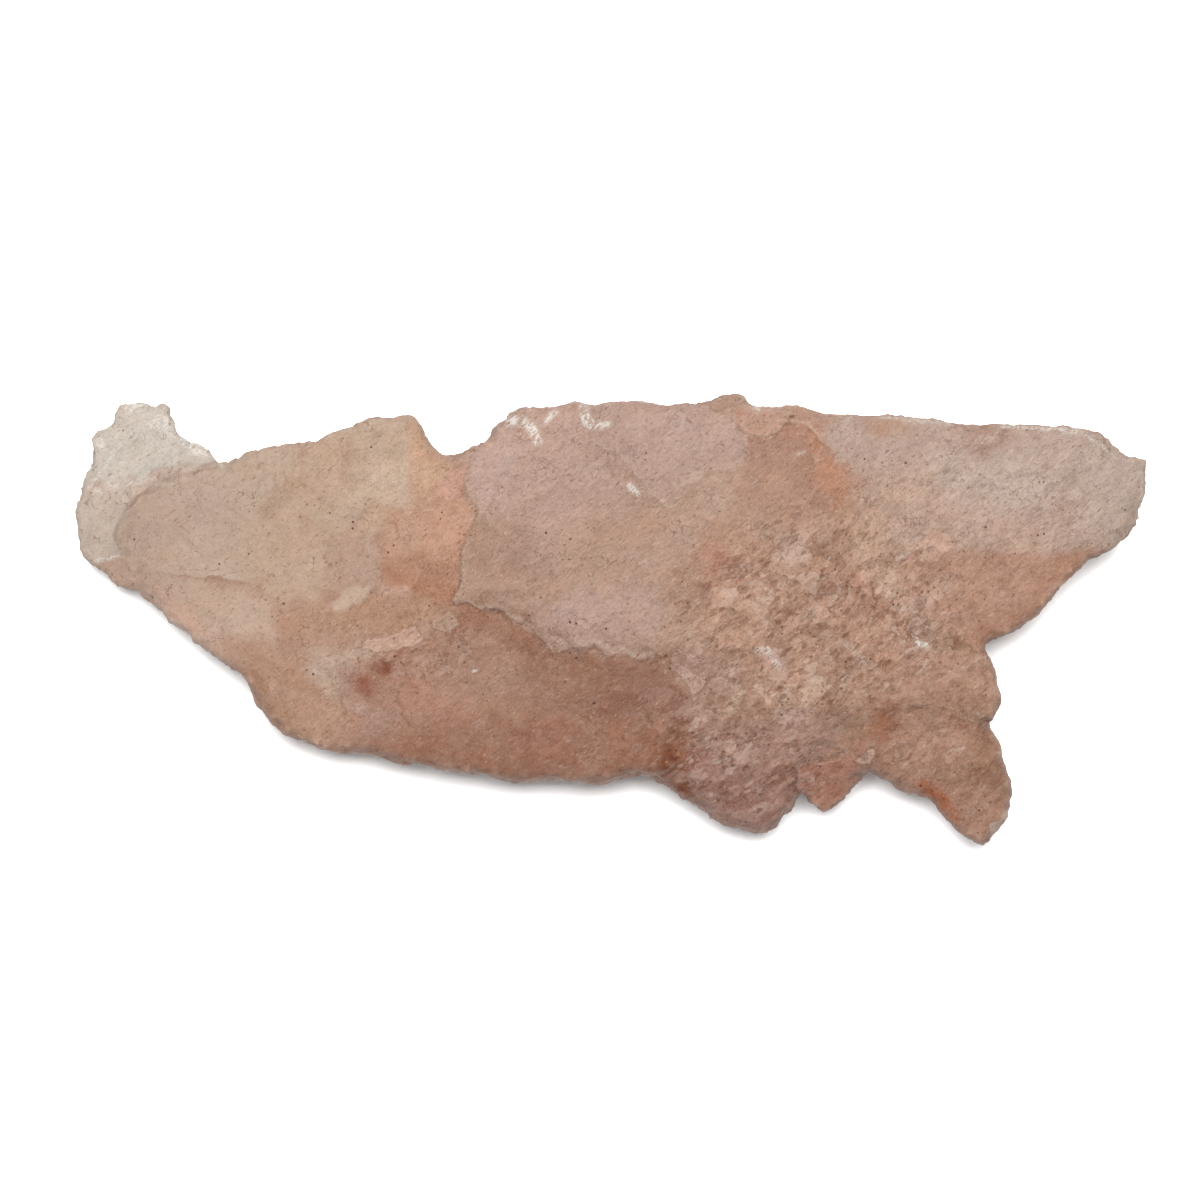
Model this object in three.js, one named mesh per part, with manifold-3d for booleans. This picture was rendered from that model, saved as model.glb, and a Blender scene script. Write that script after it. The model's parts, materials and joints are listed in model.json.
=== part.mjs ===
// Rough morganite: a long, ragged fragment of pink beryl, one stone.
// Thin blades of crystal grew into each other and broke along curved fractures, so the stone is a stack of
// tilted slabs with chipped rims, joined all through. It lies on a small flat fracture under its thick
// middle, and its ends overhang.
// Units are millimetres, +Z is up, X runs along the stone. The origin is under the middle of the stone's box,
// on the surface that the stone rests on.

import * as THREE from "three";
import { ImprovedNoise } from "three/addons/math/ImprovedNoise.js";
import { mergeVertices } from "three/addons/utils/BufferGeometryUtils.js";
import Module from "manifold-3d";

const wasm = await Module();
wasm.setup();

// ---- Driving dimensions ----
const RIM_STEP = 1.85; // spacing of the points along a blade's rim
const RAGGED = 0.5; // how far the chips along a rim reach in or out
const CHIP = 1.1; // size of one chip along a rim
const EDGE_HEIGHT = 0.62; // height of the rim's edge, as a share of the way from the under face to the top
const TOP_INSET = 0.4; // width of the bevel between the rim's edge and the top face
const UNDER_INSET = 1; // the same on the under face, where the blade thins towards its rim
const BEVEL_VARIATION = 0.55; // how much wider or narrower a bevel gets along the rim
const NARROWEST_BEVEL = 0.12;
const BEVEL_PATCH = 2.6; // length of a wide or narrow stretch
const WIDEST_BEVEL = 0.45; // where a wide bevel ends at the latest, as a share of the way to the centre
const RING_STEPS = [
  { way: 0.38, every: 3 }, // rings inside the bevel: share of the way to the centre, rim points to each place
  { way: 0.72, every: 5 },
];
const THINNEST = 0.5; // least distance between a blade's two faces
const WAVE = 5; // size of the slow waves on a broken face
const WAVE_HEIGHT = 0.3;
const BUMP = 2.2; // size of the bumps on those waves
const BUMP_HEIGHT = 0.15;
const FLAKE_STANDS = 0.18; // how far a flake's middle stands above the face that it is grown to
const FLAKE_TIP = 0.1; // slope of a flake's top along its length
const FLAKE_ROOT = 0.9; // how far a flake's solid goes down from its top
const SCAR_DEPTH = 0.15; // depth of the hollow that a chip left, in its middle
const SCAR_RUN_OUT = 2.4; // how steeply that hollow comes out of the stone at its far end
const SCAR_CUT = 2.5; // height of the wedge that is cut away
const CHIP_UNEVEN = 0.8; // how much the corners of a flake or a scar stand in or out
const CHIP_CORNERS = 7;
const FLOOR_CUT = 120; // side of the block that cuts the flat resting face

// Offsets that keep the patterns of one seed apart.
const PATTERN = { chips: 3.1, bumps: 7.7, bevels: 11.3, underFace: 40, flakes: 60, scars: 90 };

const COLOUR = 0xb8937f;

// ---- Noise ----
const noise = new ImprovedNoise();

// Slow waves and small bumps at a place on the face that seed names, in millimetres of height.
function faceRelief(x, y, seed) {
  const waves = WAVE_HEIGHT * noise.noise(x / WAVE, y / WAVE, seed);
  const bumps = BUMP_HEIGHT * noise.noise(x / BUMP, y / BUMP, seed + PATTERN.bumps);
  return waves + bumps;
}

// ---- Solids ----
// A closed BufferGeometry as a manifold-3d solid.
function solidOf(geometry) {
  const bare = geometry.clone();
  bare.deleteAttribute("normal");
  bare.deleteAttribute("uv");
  const merged = mergeVertices(bare, 1e-4);
  return new wasm.Manifold(
    new wasm.Mesh({
      numProp: 3,
      vertProperties: merged.attributes.position.array,
      triVerts: new Uint32Array(merged.index.array),
    }),
  );
}

// A solid back as a BufferGeometry.
function geometryOf(solid) {
  const mesh = solid.getMesh();
  const positions = new Float32Array(mesh.numVert * 3);
  for (let i = 0; i < mesh.numVert; i++) {
    const start = i * mesh.numProp;
    positions.set(mesh.vertProperties.subarray(start, start + 3), i * 3);
  }
  const geometry = new THREE.BufferGeometry();
  geometry.setAttribute("position", new THREE.BufferAttribute(positions, 3));
  geometry.setIndex(new THREE.BufferAttribute(mesh.triVerts, 1));
  return geometry;
}

// ---- Blades ----
// The rim as evenly spaced points, with chips that reach in and out along the way to the centre.
function raggedRim(corners, centre, seed, ragged) {
  const points = [];
  corners.forEach(([x0, y0], i) => {
    const [x1, y1] = corners[(i + 1) % corners.length];
    const count = Math.max(1, Math.round(Math.hypot(x1 - x0, y1 - y0) / RIM_STEP));
    for (let k = 0; k < count; k++) {
      const point = new THREE.Vector2(x0 + ((x1 - x0) * k) / count, y0 + ((y1 - y0) * k) / count);
      const outward = point.clone().sub(centre).normalize();
      const chip = noise.noise(point.x / CHIP, point.y / CHIP, seed + PATTERN.chips);
      points.push(point.addScaledVector(outward, ragged * chip));
    }
  });
  return THREE.ShapeUtils.isClockWise(points) ? points.reverse() : points;
}

// The rings of places on one face, inwards from where its uneven bevel ends, with fewer places on each.
function faceRings(outline, centre, inset, seed) {
  const bevelEnd = outline.map((p) => {
    const patch = noise.noise(p.x / BEVEL_PATCH, p.y / BEVEL_PATCH, seed + PATTERN.bevels);
    const width = Math.max(NARROWEST_BEVEL, inset + BEVEL_VARIATION * patch);
    return p.clone().lerp(centre, Math.min(WIDEST_BEVEL, width / p.distanceTo(centre)));
  });
  const inner = RING_STEPS.map(({ way, every }) => {
    const count = Math.max(4, Math.round(outline.length / every));
    return Array.from({ length: count }, (_, k) => {
      const start = bevelEnd[Math.round((k * outline.length) / count) % outline.length];
      return start.clone().lerp(centre, way);
    });
  });
  return [bevelEnd, ...inner];
}

// Fills the band between two rings of point numbers that run the same way round.
function stitch(outer, inner, triangle) {
  let i = 0;
  let k = 0;
  while (i < outer.length || k < inner.length) {
    const from = outer[i % outer.length];
    const to = inner[k % inner.length];
    if ((i + 1) * inner.length <= (k + 1) * outer.length) {
      triangle(from, outer[(i + 1) % outer.length], to);
      i++;
    } else {
      triangle(from, inner[(k + 1) % inner.length], to);
      k++;
    }
  }
}

// One blade: a closed slab between two tilted, slightly wavy faces that meet at a chipped rim.
// at: centre on the plan. top, under: heights of the two faces there. lean, underLean: their slopes along X
// and Y. rim: the outline's corners, which can all be seen from the centre. taper: how far the under face
// draws in from the rim, in times the usual.
function bladeGeometry({ at, top, under, lean, underLean = lean, taper = 1, rim, seed, ragged = RAGGED }) {
  const centre = new THREE.Vector2(...at);
  const outline = raggedRim(rim, centre, seed, ragged);
  const rise = (slope, p) => slope[0] * (p.x - centre.x) + slope[1] * (p.y - centre.y);
  const topAt = (p) => top + rise(lean, p) + faceRelief(p.x, p.y, seed);
  const underRelief = (p) => faceRelief(p.x, p.y, seed + PATTERN.underFace);
  const underAt = (p) => Math.min(under + rise(underLean, p), topAt(p) - THINNEST) - underRelief(p);
  const edgeAt = (p) => THREE.MathUtils.lerp(underAt(p), topAt(p), EDGE_HEIGHT);

  const positions = [];
  const index = [];
  const addRing = (places, heightAt) =>
    places.map((p) => positions.push(p.x, p.y, heightAt(p)) / 3 - 1);
  const edge = addRing(outline, edgeAt);
  const faces = [
    { heightAt: topAt, rings: faceRings(outline, centre, TOP_INSET, seed), up: true },
    { heightAt: underAt, rings: faceRings(outline, centre, UNDER_INSET * taper, seed), up: false },
  ];
  for (const { heightAt, rings, up } of faces) {
    const triangle = (a, b, c) => index.push(...(up ? [a, b, c] : [a, c, b]));
    let outer = edge;
    for (const places of rings) {
      const inner = addRing(places, heightAt);
      stitch(outer, inner, triangle);
      outer = inner;
    }
    const [hub] = addRing([centre], heightAt);
    outer.forEach((point, i) => triangle(point, outer[(i + 1) % outer.length], hub));
  }
  const geometry = new THREE.BufferGeometry();
  geometry.setAttribute("position", new THREE.Float32BufferAttribute(positions, 3));
  geometry.setIndex(index);
  return geometry;
}

// The stone's blades, from its pale left tip to its right foot, and then the heart and the
// belly that join them below.
const BLADES = {
  paleTip: {
    at: [-27.2, 7], top: 4.4, under: 2.6, lean: [0.06, -0.03], seed: 1, taper: 2,
    rim: [[-31.6, 3], [-32.7, 5], [-33, 7], [-32.5, 9.3], [-32.1, 11.1], [-31, 11.9], [-30.3, 13.1],
      [-29.2, 13.4],
      [-27.6, 13], [-26.7, 12.3], [-26, 11.1], [-24.4, 9.8], [-22, 9], [-21, 5], [-23.5, 1.8], [-28, 0.9]],
  },
  tipStep: {
    at: [-26.6, 4.8], top: 4.9, under: 2.9, lean: [0.08, 0.03], seed: 2, taper: 2,
    rim: [[-31.2, 3], [-31.9, 4.8], [-31.6, 6.6], [-29, 7.4], [-27.4, 8.9], [-25.5, 9.6], [-23, 9.5],
      [-21, 5],
      [-22.5, 0], [-25.4, -1.5], [-28.6, 0.9]],
  },
  leftBlade: {
    at: [-20.2, 4.4], top: 7.2, under: 3.2, lean: [0.17, 0.03], underLean: [0, 0.02], seed: 3, taper: 2.2,
    rim: [[-30.6, 5.1], [-30.2, 7], [-28.6, 8.5], [-25.2, 9.3], [-22.2, 10.3], [-19.8, 10.9], [-17.9, 11.1],
      [-16.1, 11.8], [-14.8, 12.4], [-12.5, 12.5], [-10.5, 10.3], [-12.1, 7.1], [-13.7, 6.7], [-15.6, 6.8],
      [-17.2, 5.1], [-18.1, 3.6], [-17.9, 1.6], [-17.2, 0.4], [-18.5, -2.4], [-22, -2.9], [-25, -1.8],
      [-27.8, 0.6], [-29.8, 2.4]],
  },
  leftShelf: {
    at: [-17, 8.4], top: 7.95, under: 6.4, lean: [0.16, 0.03], seed: 31,
    rim: [[-20.6, 8.8], [-21.8, 6.4], [-21.2, 3.2], [-18.2, 3.8], [-17.1, 5.2], [-15.5, 6.7], [-13.6, 6.8],
      [-12.2, 7.3], [-11.2, 9.6], [-12.7, 11.9], [-14.8, 12], [-16.4, 11.3], [-18.2, 10.5]],
  },
  orangeFacet: {
    at: [-13, 3], top: 8.4, under: 4, lean: [0.23, 0.02], underLean: [0, 0], seed: 4, taper: 2,
    rim: [[-12.4, 11.4], [-10.2, 9.9], [-7, 10.4], [-6.4, 5], [-7.5, 1], [-9.4, 0], [-11, -0.6],
      [-12.2, -1.3],
      [-13.8, -1.7], [-15.4, -2.2], [-17.4, -3.4], [-20.6, -3.4], [-21.5, -1], [-19.8, 3.2],
      [-18.2, 6.6],
      [-15.2, 9.4]],
  },
  lowerLeft: {
    at: [-13, -3.6], top: 7.7, under: 3, lean: [0.08, 0.04], underLean: [0, 0.05], seed: 5, taper: 2.4,
    rim: [[-25.9, -1.2], [-23.2, -3.4], [-22.2, -5], [-21.5, -5.9], [-20.1, -7.1], [-18.5, -7.9],
      [-17.6, -8.2],
      [-14.2, -8.5], [-11.8, -8.9], [-9.9, -9.1], [-6.8, -9.7], [-3.1, -9.8], [-2, -5], [-3, -1], [-8, 1.4],
      [-14, 1.6], [-20, 1.4], [-24.5, 0.4]],
  },
  lowerMiddle: {
    at: [-1.5, -5], top: 8.7, under: 3, lean: [0.06, 0.05], underLean: [0, 0.06], seed: 6, taper: 2.2,
    rim: [[-11.5, 0.4], [-14, -4], [-11.8, -8.8], [-6.8, -9.7], [-3.1, -9.9], [-0.7, -9.8], [1.8, -9.6],
      [3.2, -9.8],
      [5.5, -7], [5.6, -4], [4.5, -1.2], [0, 0.4], [-6, 1.6]],
  },
  centreBlade: {
    at: [1, 5.6], top: 9.95, under: 5.6, lean: [0.025, 0.02], underLean: [0, 0.05], seed: 7, taper: 1.6,
    rim: [[-10, 9.9], [-7.6, 11.1], [-7.1, 12], [-6.2, 12.7], [-5.3, 13], [-4.1, 13], [-3.1, 13.3],
      [-1.9, 13.4],
      [-0.7, 13.1], [0.6, 13.5], [1.8, 13.3], [4.2, 13.2], [7.4, 12.7], [9, 11.5], [12, 9], [13, 4],
      [10.6, 0.5],
      [6.6, -1.3], [4.1, -1.5], [3.2, -2.4], [1.8, -2.4], [0.6, -1.9], [-2.9, -1.8], [-4.2, -1.2],
      [-5, -0.5],
      [-6.4, 0], [-8.4, 0.8], [-9.8, 1.3], [-9.5, 2.4], [-8.8, 3.7], [-8.4, 5.2], [-7.6, 7.2], [-8.6, 8.8]],
  },
  lowerTongue: {
    at: [0.8, 1.6], top: 9.8, under: 7, lean: [0.03, -0.04], seed: 32,
    rim: [[-3, 3.4], [-4.4, 1], [-3.2, -1.5], [0.4, -1.7], [1.8, -2.2], [3.2, -2.2], [4.2, -1.2],
      [6.4, 0.4],
      [5.6, 2.4], [3.9, 3.2], [2, 3.5], [0, 4.4]],
  },
  shield: {
    at: [4, 10.6], top: 10.4, under: 9, lean: [-0.03, 0.03], seed: 8,
    rim: [[-1.7, 13.2], [0.6, 13.4], [2, 13.2], [4.2, 13.1], [7, 12.6], [8.7, 11.3], [9.4, 10.2], [8, 9.4],
      [5.5, 8.8], [4.4, 8], [3.6, 6.8], [2.7, 7.1], [1.5, 8.2], [0.9, 9.4], [-0.4, 10.6], [-1.4, 11.8]],
  },
  hump: {
    at: [10.6, 5], top: 9.95, under: 5, lean: [-0.04, 0.03], underLean: [0, 0], seed: 9, taper: 1.6,
    rim: [[6.6, 12], [8.4, 11.4], [9.2, 11.3], [10.6, 12], [12, 12.1], [13, 11.4], [13.8, 9.9], [15.2, 9.2],
      [16.2, 8], [14.6, 6], [14.2, 3.4], [15, 0.6], [15.6, -1.2], [12, -2.2], [7, -1.6], [4.6, 4], [5, 9]],
  },
  scallop: {
    at: [9, 12.3], top: 10.45, under: 9.2, lean: [-0.06, 0], seed: 33,
    rim: [[6.2, 12.9], [7.2, 12.2], [8.1, 11.4], [9.2, 11.1], [10.2, 11.5], [11, 12.1], [11.5, 12.6],
      [9.6, 12.9],
      [8, 13.1]],
  },
  backShelf: {
    at: [9.5, 9.5], top: 8.8, under: 4.8, lean: [-0.03, 0.05], underLean: [0, 0.12], seed: 10, taper: 2,
    rim: [[3, 12.6], [5.5, 13.2], [6.7, 13.8], [7.6, 13.9], [8.7, 13.2], [11, 13.1], [12.6, 12.8],
      [14.7, 12.5],
      [17.2, 12.6], [18, 9], [15, 4], [8, 3], [3, 6]],
  },
  rightArm: {
    at: [22.4, 8.2], top: 8.75, under: 5.4, lean: [-0.07, 0.04], underLean: [0.03, 0.06], seed: 11, taper: 2,
    rim: [[12, 12.4], [14.7, 12.4], [17.2, 12.6], [20.3, 12.3], [21.5, 12], [24, 11.9], [26.1, 12.2],
      [28.9, 11.5],
      [30, 11.4], [30.8, 11], [31.4, 10.2], [33, 9.8], [33, 8.9], [32.8, 7.7], [32.6, 6.1], [31.9, 5.1],
      [30.9, 4.3], [29.2, 3.8], [25, 4.1], [20.9, 4.3], [18.4, 4.6], [17.4, 3.2], [13, 4], [11, 8]],
  },
  rightUnder: {
    at: [21.6, 1.4], top: 8.35, under: 3.9, lean: [-0.05, 0.03], underLean: [0.1, 0.05], seed: 12, taper: 2.2,
    rim: [[29.6, 4.1], [28.2, 2], [27, 0.9], [25.9, -0.4], [24.1, -1.2], [23.2, -2], [20.5, -4], [16, -4],
      [13, -1], [13.5, 4], [17, 6.5], [24, 7], [29.5, 6]],
  },
  ridge: {
    at: [14.6, 1.2], top: 9.6, under: 5.5, lean: [-0.1, 0.02], seed: 34,
    rim: [[12.2, 6.8], [13.8, 5.2], [15.4, 3.6], [16.6, 1.2], [17.9, -1.1], [19.2, -2.4], [15, -4],
      [11.5, -2],
      [11.4, 2], [11.2, 5]],
  },
  crumbly: {
    at: [12.6, -3], top: 9.35, under: 3.6, lean: [-0.05, 0.06], underLean: [0.05, 0], seed: 13, taper: 2,
    rim: [[3.4, -1.9], [4, -0.3], [6.4, 1.4], [12, 2], [15, 0.4], [17.6, -0.8], [19.6, -1.9], [21.6, -1.7],
      [23.2, -2.1], [23.9, -3.2], [24, -4.6], [23.3, -6.3], [21.4, -5.5], [17.4, -5.3], [15.8, -6.4],
      [13.4, -6.2], [11, -7], [8.4, -6.4], [6.6, -6.8], [5.3, -5.4], [4.4, -4]],
  },
  lobe: {
    at: [7.8, -8], top: 8.3, under: 3.4, lean: [0, 0.36], underLean: [0, 0.22], seed: 14, taper: 2,
    rim: [[1.8, -9.5], [3, -10.2], [4.3, -11.1], [5.5, -11.9], [7, -12.5], [8.3, -13], [9.5, -13.2],
      [10.4, -12.6],
      [11, -11.4], [12.2, -9.6], [13.6, -6.6], [11, -4], [6, -3.6], [4, -5], [2.2, -7.4]],
  },
  smallToe: {
    at: [13.7, -7.8], top: 7.2, under: 3.8, lean: [-0.02, 0.5], underLean: [0, 0.25], seed: 15, taper: 1.5,
    rim: [[11, -10.1], [12.1, -11.3], [13.2, -11.5], [14.1, -11.4], [14.8, -10.7], [15.7, -9.4],
      [16.9, -7.4],
      [16, -4.6], [12, -4.6], [10.8, -8]],
  },
  rightFoot: {
    at: [20.2, -7.6], top: 7.6, under: 3.8, lean: [-0.02, 0.2], underLean: [-0.06, 0.16], seed: 16, taper: 2,
    rim: [[15.4, -9.3], [17.8, -10.2], [19.3, -11.1], [20.6, -12.4], [21.8, -13.5], [23, -14],
      [23.8, -13.5],
      [24.5, -12.4], [24.6, -11.1], [24.4, -9.6], [24, -8.1], [23.3, -6.4], [22, -3.4], [17, -3],
      [14.6, -6.5]],
  },
  heart: {
    at: [1.5, 2], top: 8.2, under: 3.4, lean: [0.01, 0.04], underLean: [0.03, 0.02], seed: 19,
    rim: [[-12, 2.5], [-9, 7], [-4, 10], [4, 10.6], [12, 9], [16.5, 4], [17, -1.5], [12.5, -4.6],
      [3, -6], [-6, -5],
      [-11, -1]],
  },
  leftBelly: {
    at: [-12, 2], top: 6, under: 2.4, lean: [0, 0], underLean: [-0.07, 0.03], seed: 18,
    rim: [[-24, 3.4], [-21.5, 6.6], [-17, 8], [-13, 9.6], [-8.5, 8.2], [-5.5, 4.6], [-4.6, -1], [-7, -4.6],
      [-10.5, -6.4], [-14.5, -5.6], [-18, -5], [-21, -2.2]],
  },
  rightBelly: {
    at: [12.6, 0.6], top: 6.4, under: 2.6, lean: [0, 0], underLean: [0.12, 0.04], seed: 20,
    rim: [[2.6, 2], [4.5, 7.6], [9, 9.4], [14.5, 8.2], [18.5, 6.2], [22.4, 4.4], [21, 0.6], [19.4, -3.2],
      [16.6, -5], [12, -5.6], [8, -6.8], [4.4, -4]],
  },
  frontBelly: {
    at: [0.5, -3.2], top: 6, under: 1.5, lean: [0, 0], underLean: [0.05, -0.12], seed: 21,
    rim: [[-9.6, -3], [-7.6, 0.6], [-2, 2.2], [5, 1.6], [9.8, -1], [11.2, -4], [7.4, -6.4], [2.6, -7.6],
      [-2.6, -7.2],
      [-6.6, -6.6]],
  },
  backBelly: {
    at: [-1, 5], top: 7, under: 1.1, lean: [0, 0], underLean: [-0.06, 0.1], seed: 22,
    rim: [[-11.4, 4.6], [-8.6, 8], [-3.2, 9.8], [1.6, 9], [6.4, 9.8], [9.6, 6.4], [9, 2.4], [4, 0],
      [-3, -0.6],
      [-8.6, 1]],
  },
  keel: {
    at: [1.6, 1.6], top: 4, under: -0.5, lean: [0, 0], underLean: [0.015, -0.02], seed: 17,
    rim: [[-10.4, 1.8], [-8, 4.6], [-4.6, 6.4], [0.4, 6], [4.4, 7.6], [9, 6], [12.6, 4.2], [13.6, 0.6],
      [10.4, -2.4],
      [6, -3.4], [1.4, -5], [-3.4, -4.4], [-7, -2.2]],
  },
};

let stone = Object.values(BLADES)
  .map((blade) => solidOf(bladeGeometry(blade)))
  .reduce((whole, blade) => whole.add(blade));

// ---- Flakes and scars ----
// Height of the stone's upper face at a place on the plan.
const upperFace = new THREE.Mesh(geometryOf(stone), new THREE.MeshBasicMaterial());
const downward = new THREE.Vector3(0, 0, -1);
function heightOfFace(x, y) {
  const ray = new THREE.Raycaster(new THREE.Vector3(x, y, FLOOR_CUT), downward);
  return ray.intersectObject(upperFace)[0].point.z;
}

// The direction of a piece's length, turned from X.
function lengthways(turn) {
  const angle = THREE.MathUtils.degToRad(turn);
  return new THREE.Vector2(Math.cos(angle), Math.sin(angle));
}

// The outline of a chip: a long shape with uneven corners.
function chipRim({ at, length, width, turn, seed }) {
  const along = lengthways(turn);
  return Array.from({ length: CHIP_CORNERS }, (_, i) => {
    const way = (2 * Math.PI * i) / CHIP_CORNERS;
    const reach = 1 + CHIP_UNEVEN * noise.noise(2.5 * i, 0.5, seed + PATTERN.chips);
    const u = 0.5 * length * reach * Math.cos(way);
    const v = 0.5 * width * reach * Math.sin(way);
    return [at[0] + u * along.x - v * along.y, at[1] + u * along.y + v * along.x];
  });
}

// A small flake still grown to the face below it: a thin wedge, tipped so that one end stands up and the
// other runs into the face.
function flakeGeometry({ at, length, width, turn, stands = FLAKE_STANDS, tip = FLAKE_TIP, seed }) {
  const rim = chipRim({ at, length, width, turn, seed });
  const top = heightOfFace(...at) + stands;
  const lean = lengthways(turn).multiplyScalar(tip).toArray();
  return bladeGeometry({ at, top, under: top - FLAKE_ROOT, lean, rim, seed, ragged: 0 });
}

const FLAKES = [
  // along the ledge left of the middle
  { at: [-12.4, -0.8], length: 3.4, width: 1.6, turn: 20, stands: 0.3 },
  { at: [-10.2, -0.1], length: 1.8, width: 1.5, turn: 60, stands: 0.25 },
  { at: [-14.8, -2.2], length: 2.6, width: 1.3, turn: 35 },
  { at: [-13.3, 2], length: 2.4, width: 1.5, turn: 8 },
  { at: [-15.7, 1.6], length: 3.6, width: 1.6, turn: 42, tip: 0.14 },
  // curved slivers where the middle blade ends
  { at: [4.5, -2], length: 3, width: 1.1, turn: -35, tip: -0.1, stands: 0.3 },
  { at: [4.5, -4], length: 3, width: 1.2, turn: -55, tip: -0.1, stands: 0.35 },
  { at: [3.4, 3.2], length: 4, width: 1.5, turn: -18 },
  // the crumbly right half
  { at: [15.2, -2], length: 3.4, width: 2, turn: -20 },
  { at: [11.7, -4.4], length: 4, width: 2.2, turn: 15, stands: 0.3 },
  { at: [8.9, -4.8], length: 2.6, width: 1.5, turn: -50 },
  { at: [9.4, -2.2], length: 3, width: 1.9, turn: 25 },
  { at: [13.2, -0.6], length: 3.2, width: 1.8, turn: 50 },
  { at: [6.9, -1.4], length: 2.6, width: 1.6, turn: -25 },
  { at: [9.8, 1.4], length: 3.6, width: 2, turn: 30 },
  { at: [11.6, 4.2], length: 3.2, width: 1.9, turn: -35 },
  { at: [8.2, -8.6], length: 3.2, width: 2.1, turn: 65 },
  // the chip and the crust by the right arm
  { at: [19.2, -0.9], length: 2.4, width: 2.1, turn: -40, stands: 0.45, tip: 0.16 },
  { at: [19.4, 4.7], length: 3.6, width: 1.7, turn: -12, stands: 0.22 },
  { at: [26.4, 8.6], length: 4.6, width: 2.4, turn: 30, stands: 0.14 },
  // the feet
  { at: [15.8, -8.1], length: 2.4, width: 1.1, turn: 62, stands: 0.35, tip: 0.2 },
  { at: [21.6, -8], length: 3.4, width: 2.2, turn: -55 },
];

// What is cut away where a chip has come off: a wedge whose flat under face goes into the stone at one end,
// which leaves a small step there, and comes out of it at the other.
function scarGeometry({ at, length, width, turn, depth = SCAR_DEPTH, seed }) {
  const rim = chipRim({ at, length, width, turn, seed });
  const under = heightOfFace(...at) - depth;
  const underLean = lengthways(turn).multiplyScalar((SCAR_RUN_OUT * depth) / length).toArray();
  const lean = [0, 0];
  return bladeGeometry({ at, top: under + SCAR_CUT, under, lean, underLean, taper: 0, rim, seed, ragged: 0 });
}

const SCARS = [
  // the left blade and the low front
  { at: [-24.6, 6], length: 5.4, width: 3.4, turn: 40 },
  { at: [-20, 7.4], length: 4, width: 2.6, turn: 215 },
  { at: [-13.8, 9.4], length: 5, width: 3, turn: 240 },
  { at: [-19, -4.8], length: 5, width: 3.2, turn: 150 },
  { at: [-8.4, -3.2], length: 5.6, width: 3.4, turn: 20 },
  { at: [-1, -6.8], length: 6, width: 3.4, turn: 165 },
  // the middle blade
  { at: [-4.4, 5.6], length: 6, width: 3.4, turn: 230 },
  { at: [-1.4, 10], length: 4.4, width: 2.6, turn: 140 },
  { at: [6.4, 6.2], length: 5, width: 3, turn: 40 },
  // the crumbly right half
  { at: [13.2, 8.8], length: 4.4, width: 2.6, turn: 300, depth: 0.2 },
  { at: [14.6, 3.6], length: 4, width: 2.2, turn: 125, depth: 0.25 },
  { at: [7.4, 1.2], length: 3.4, width: 2.4, turn: 200, depth: 0.25 },
  { at: [12.4, -2.6], length: 3, width: 2.2, turn: 70, depth: 0.25 },
  { at: [18, -3.8], length: 3.6, width: 2.4, turn: 190, depth: 0.25 },
  { at: [10.8, -9.6], length: 4, width: 2.4, turn: 240, depth: 0.25 },
  // the right arm and foot
  { at: [23.6, 1.8], length: 5, width: 3, turn: 215 },
  { at: [20.8, 8.8], length: 5, width: 2.8, turn: 160 },
  { at: [28.8, 6.8], length: 4, width: 2.4, turn: 45 },
  { at: [18.8, -7.8], length: 4, width: 2.6, turn: 130 },
];

stone = FLAKES
  .map((flake, i) => solidOf(flakeGeometry({ ...flake, seed: PATTERN.flakes + i })))
  .reduce((whole, flake) => whole.add(flake), stone);
stone = SCARS
  .map((scar, i) => solidOf(scarGeometry({ ...scar, seed: PATTERN.scars + i })))
  .reduce((whole, wedge) => whole.subtract(wedge), stone);

// ---- The flat fracture that the stone rests on ----
const below = new THREE.BoxGeometry(FLOOR_CUT, FLOOR_CUT, FLOOR_CUT);
below.translate(0, 0, -FLOOR_CUT / 2);
stone = stone.subtract(solidOf(below));

const geometry = geometryOf(stone);
geometry.computeBoundingBox();
const middle = geometry.boundingBox.getCenter(new THREE.Vector3());

const morganite = new THREE.Mesh(
  geometry,
  new THREE.MeshStandardMaterial({ color: COLOUR, roughness: 0.45, metalness: 0, flatShading: true }),
);
morganite.name = "morganite";
morganite.position.set(-middle.x, -middle.y, -geometry.boundingBox.min.z);

const group = new THREE.Group();
group.add(morganite);
export default group;
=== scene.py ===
# %% [markdown]
# # A rough piece of morganite
# Morganite is pink beryl. This is a broken piece of it, about as long as a finger joint: a stack of thin crystal
# blades that grew into each other and then split, so its face is low steps, curved flakes and fine pits, and its
# rims are chipped. It is cloudy and lets light through where it is thin.
#
# The packed CAD solid already has the blades and the larger flakes at their real size. This lesson turns a copy of
# it into a fine mesh, breaks that mesh's surface the way the stone is broken, and gives it a stone's colour and
# depth.

# %% Load the CAD frame
import json
import math

import bpy
import numpy as np
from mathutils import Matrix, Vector, noise

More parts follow.
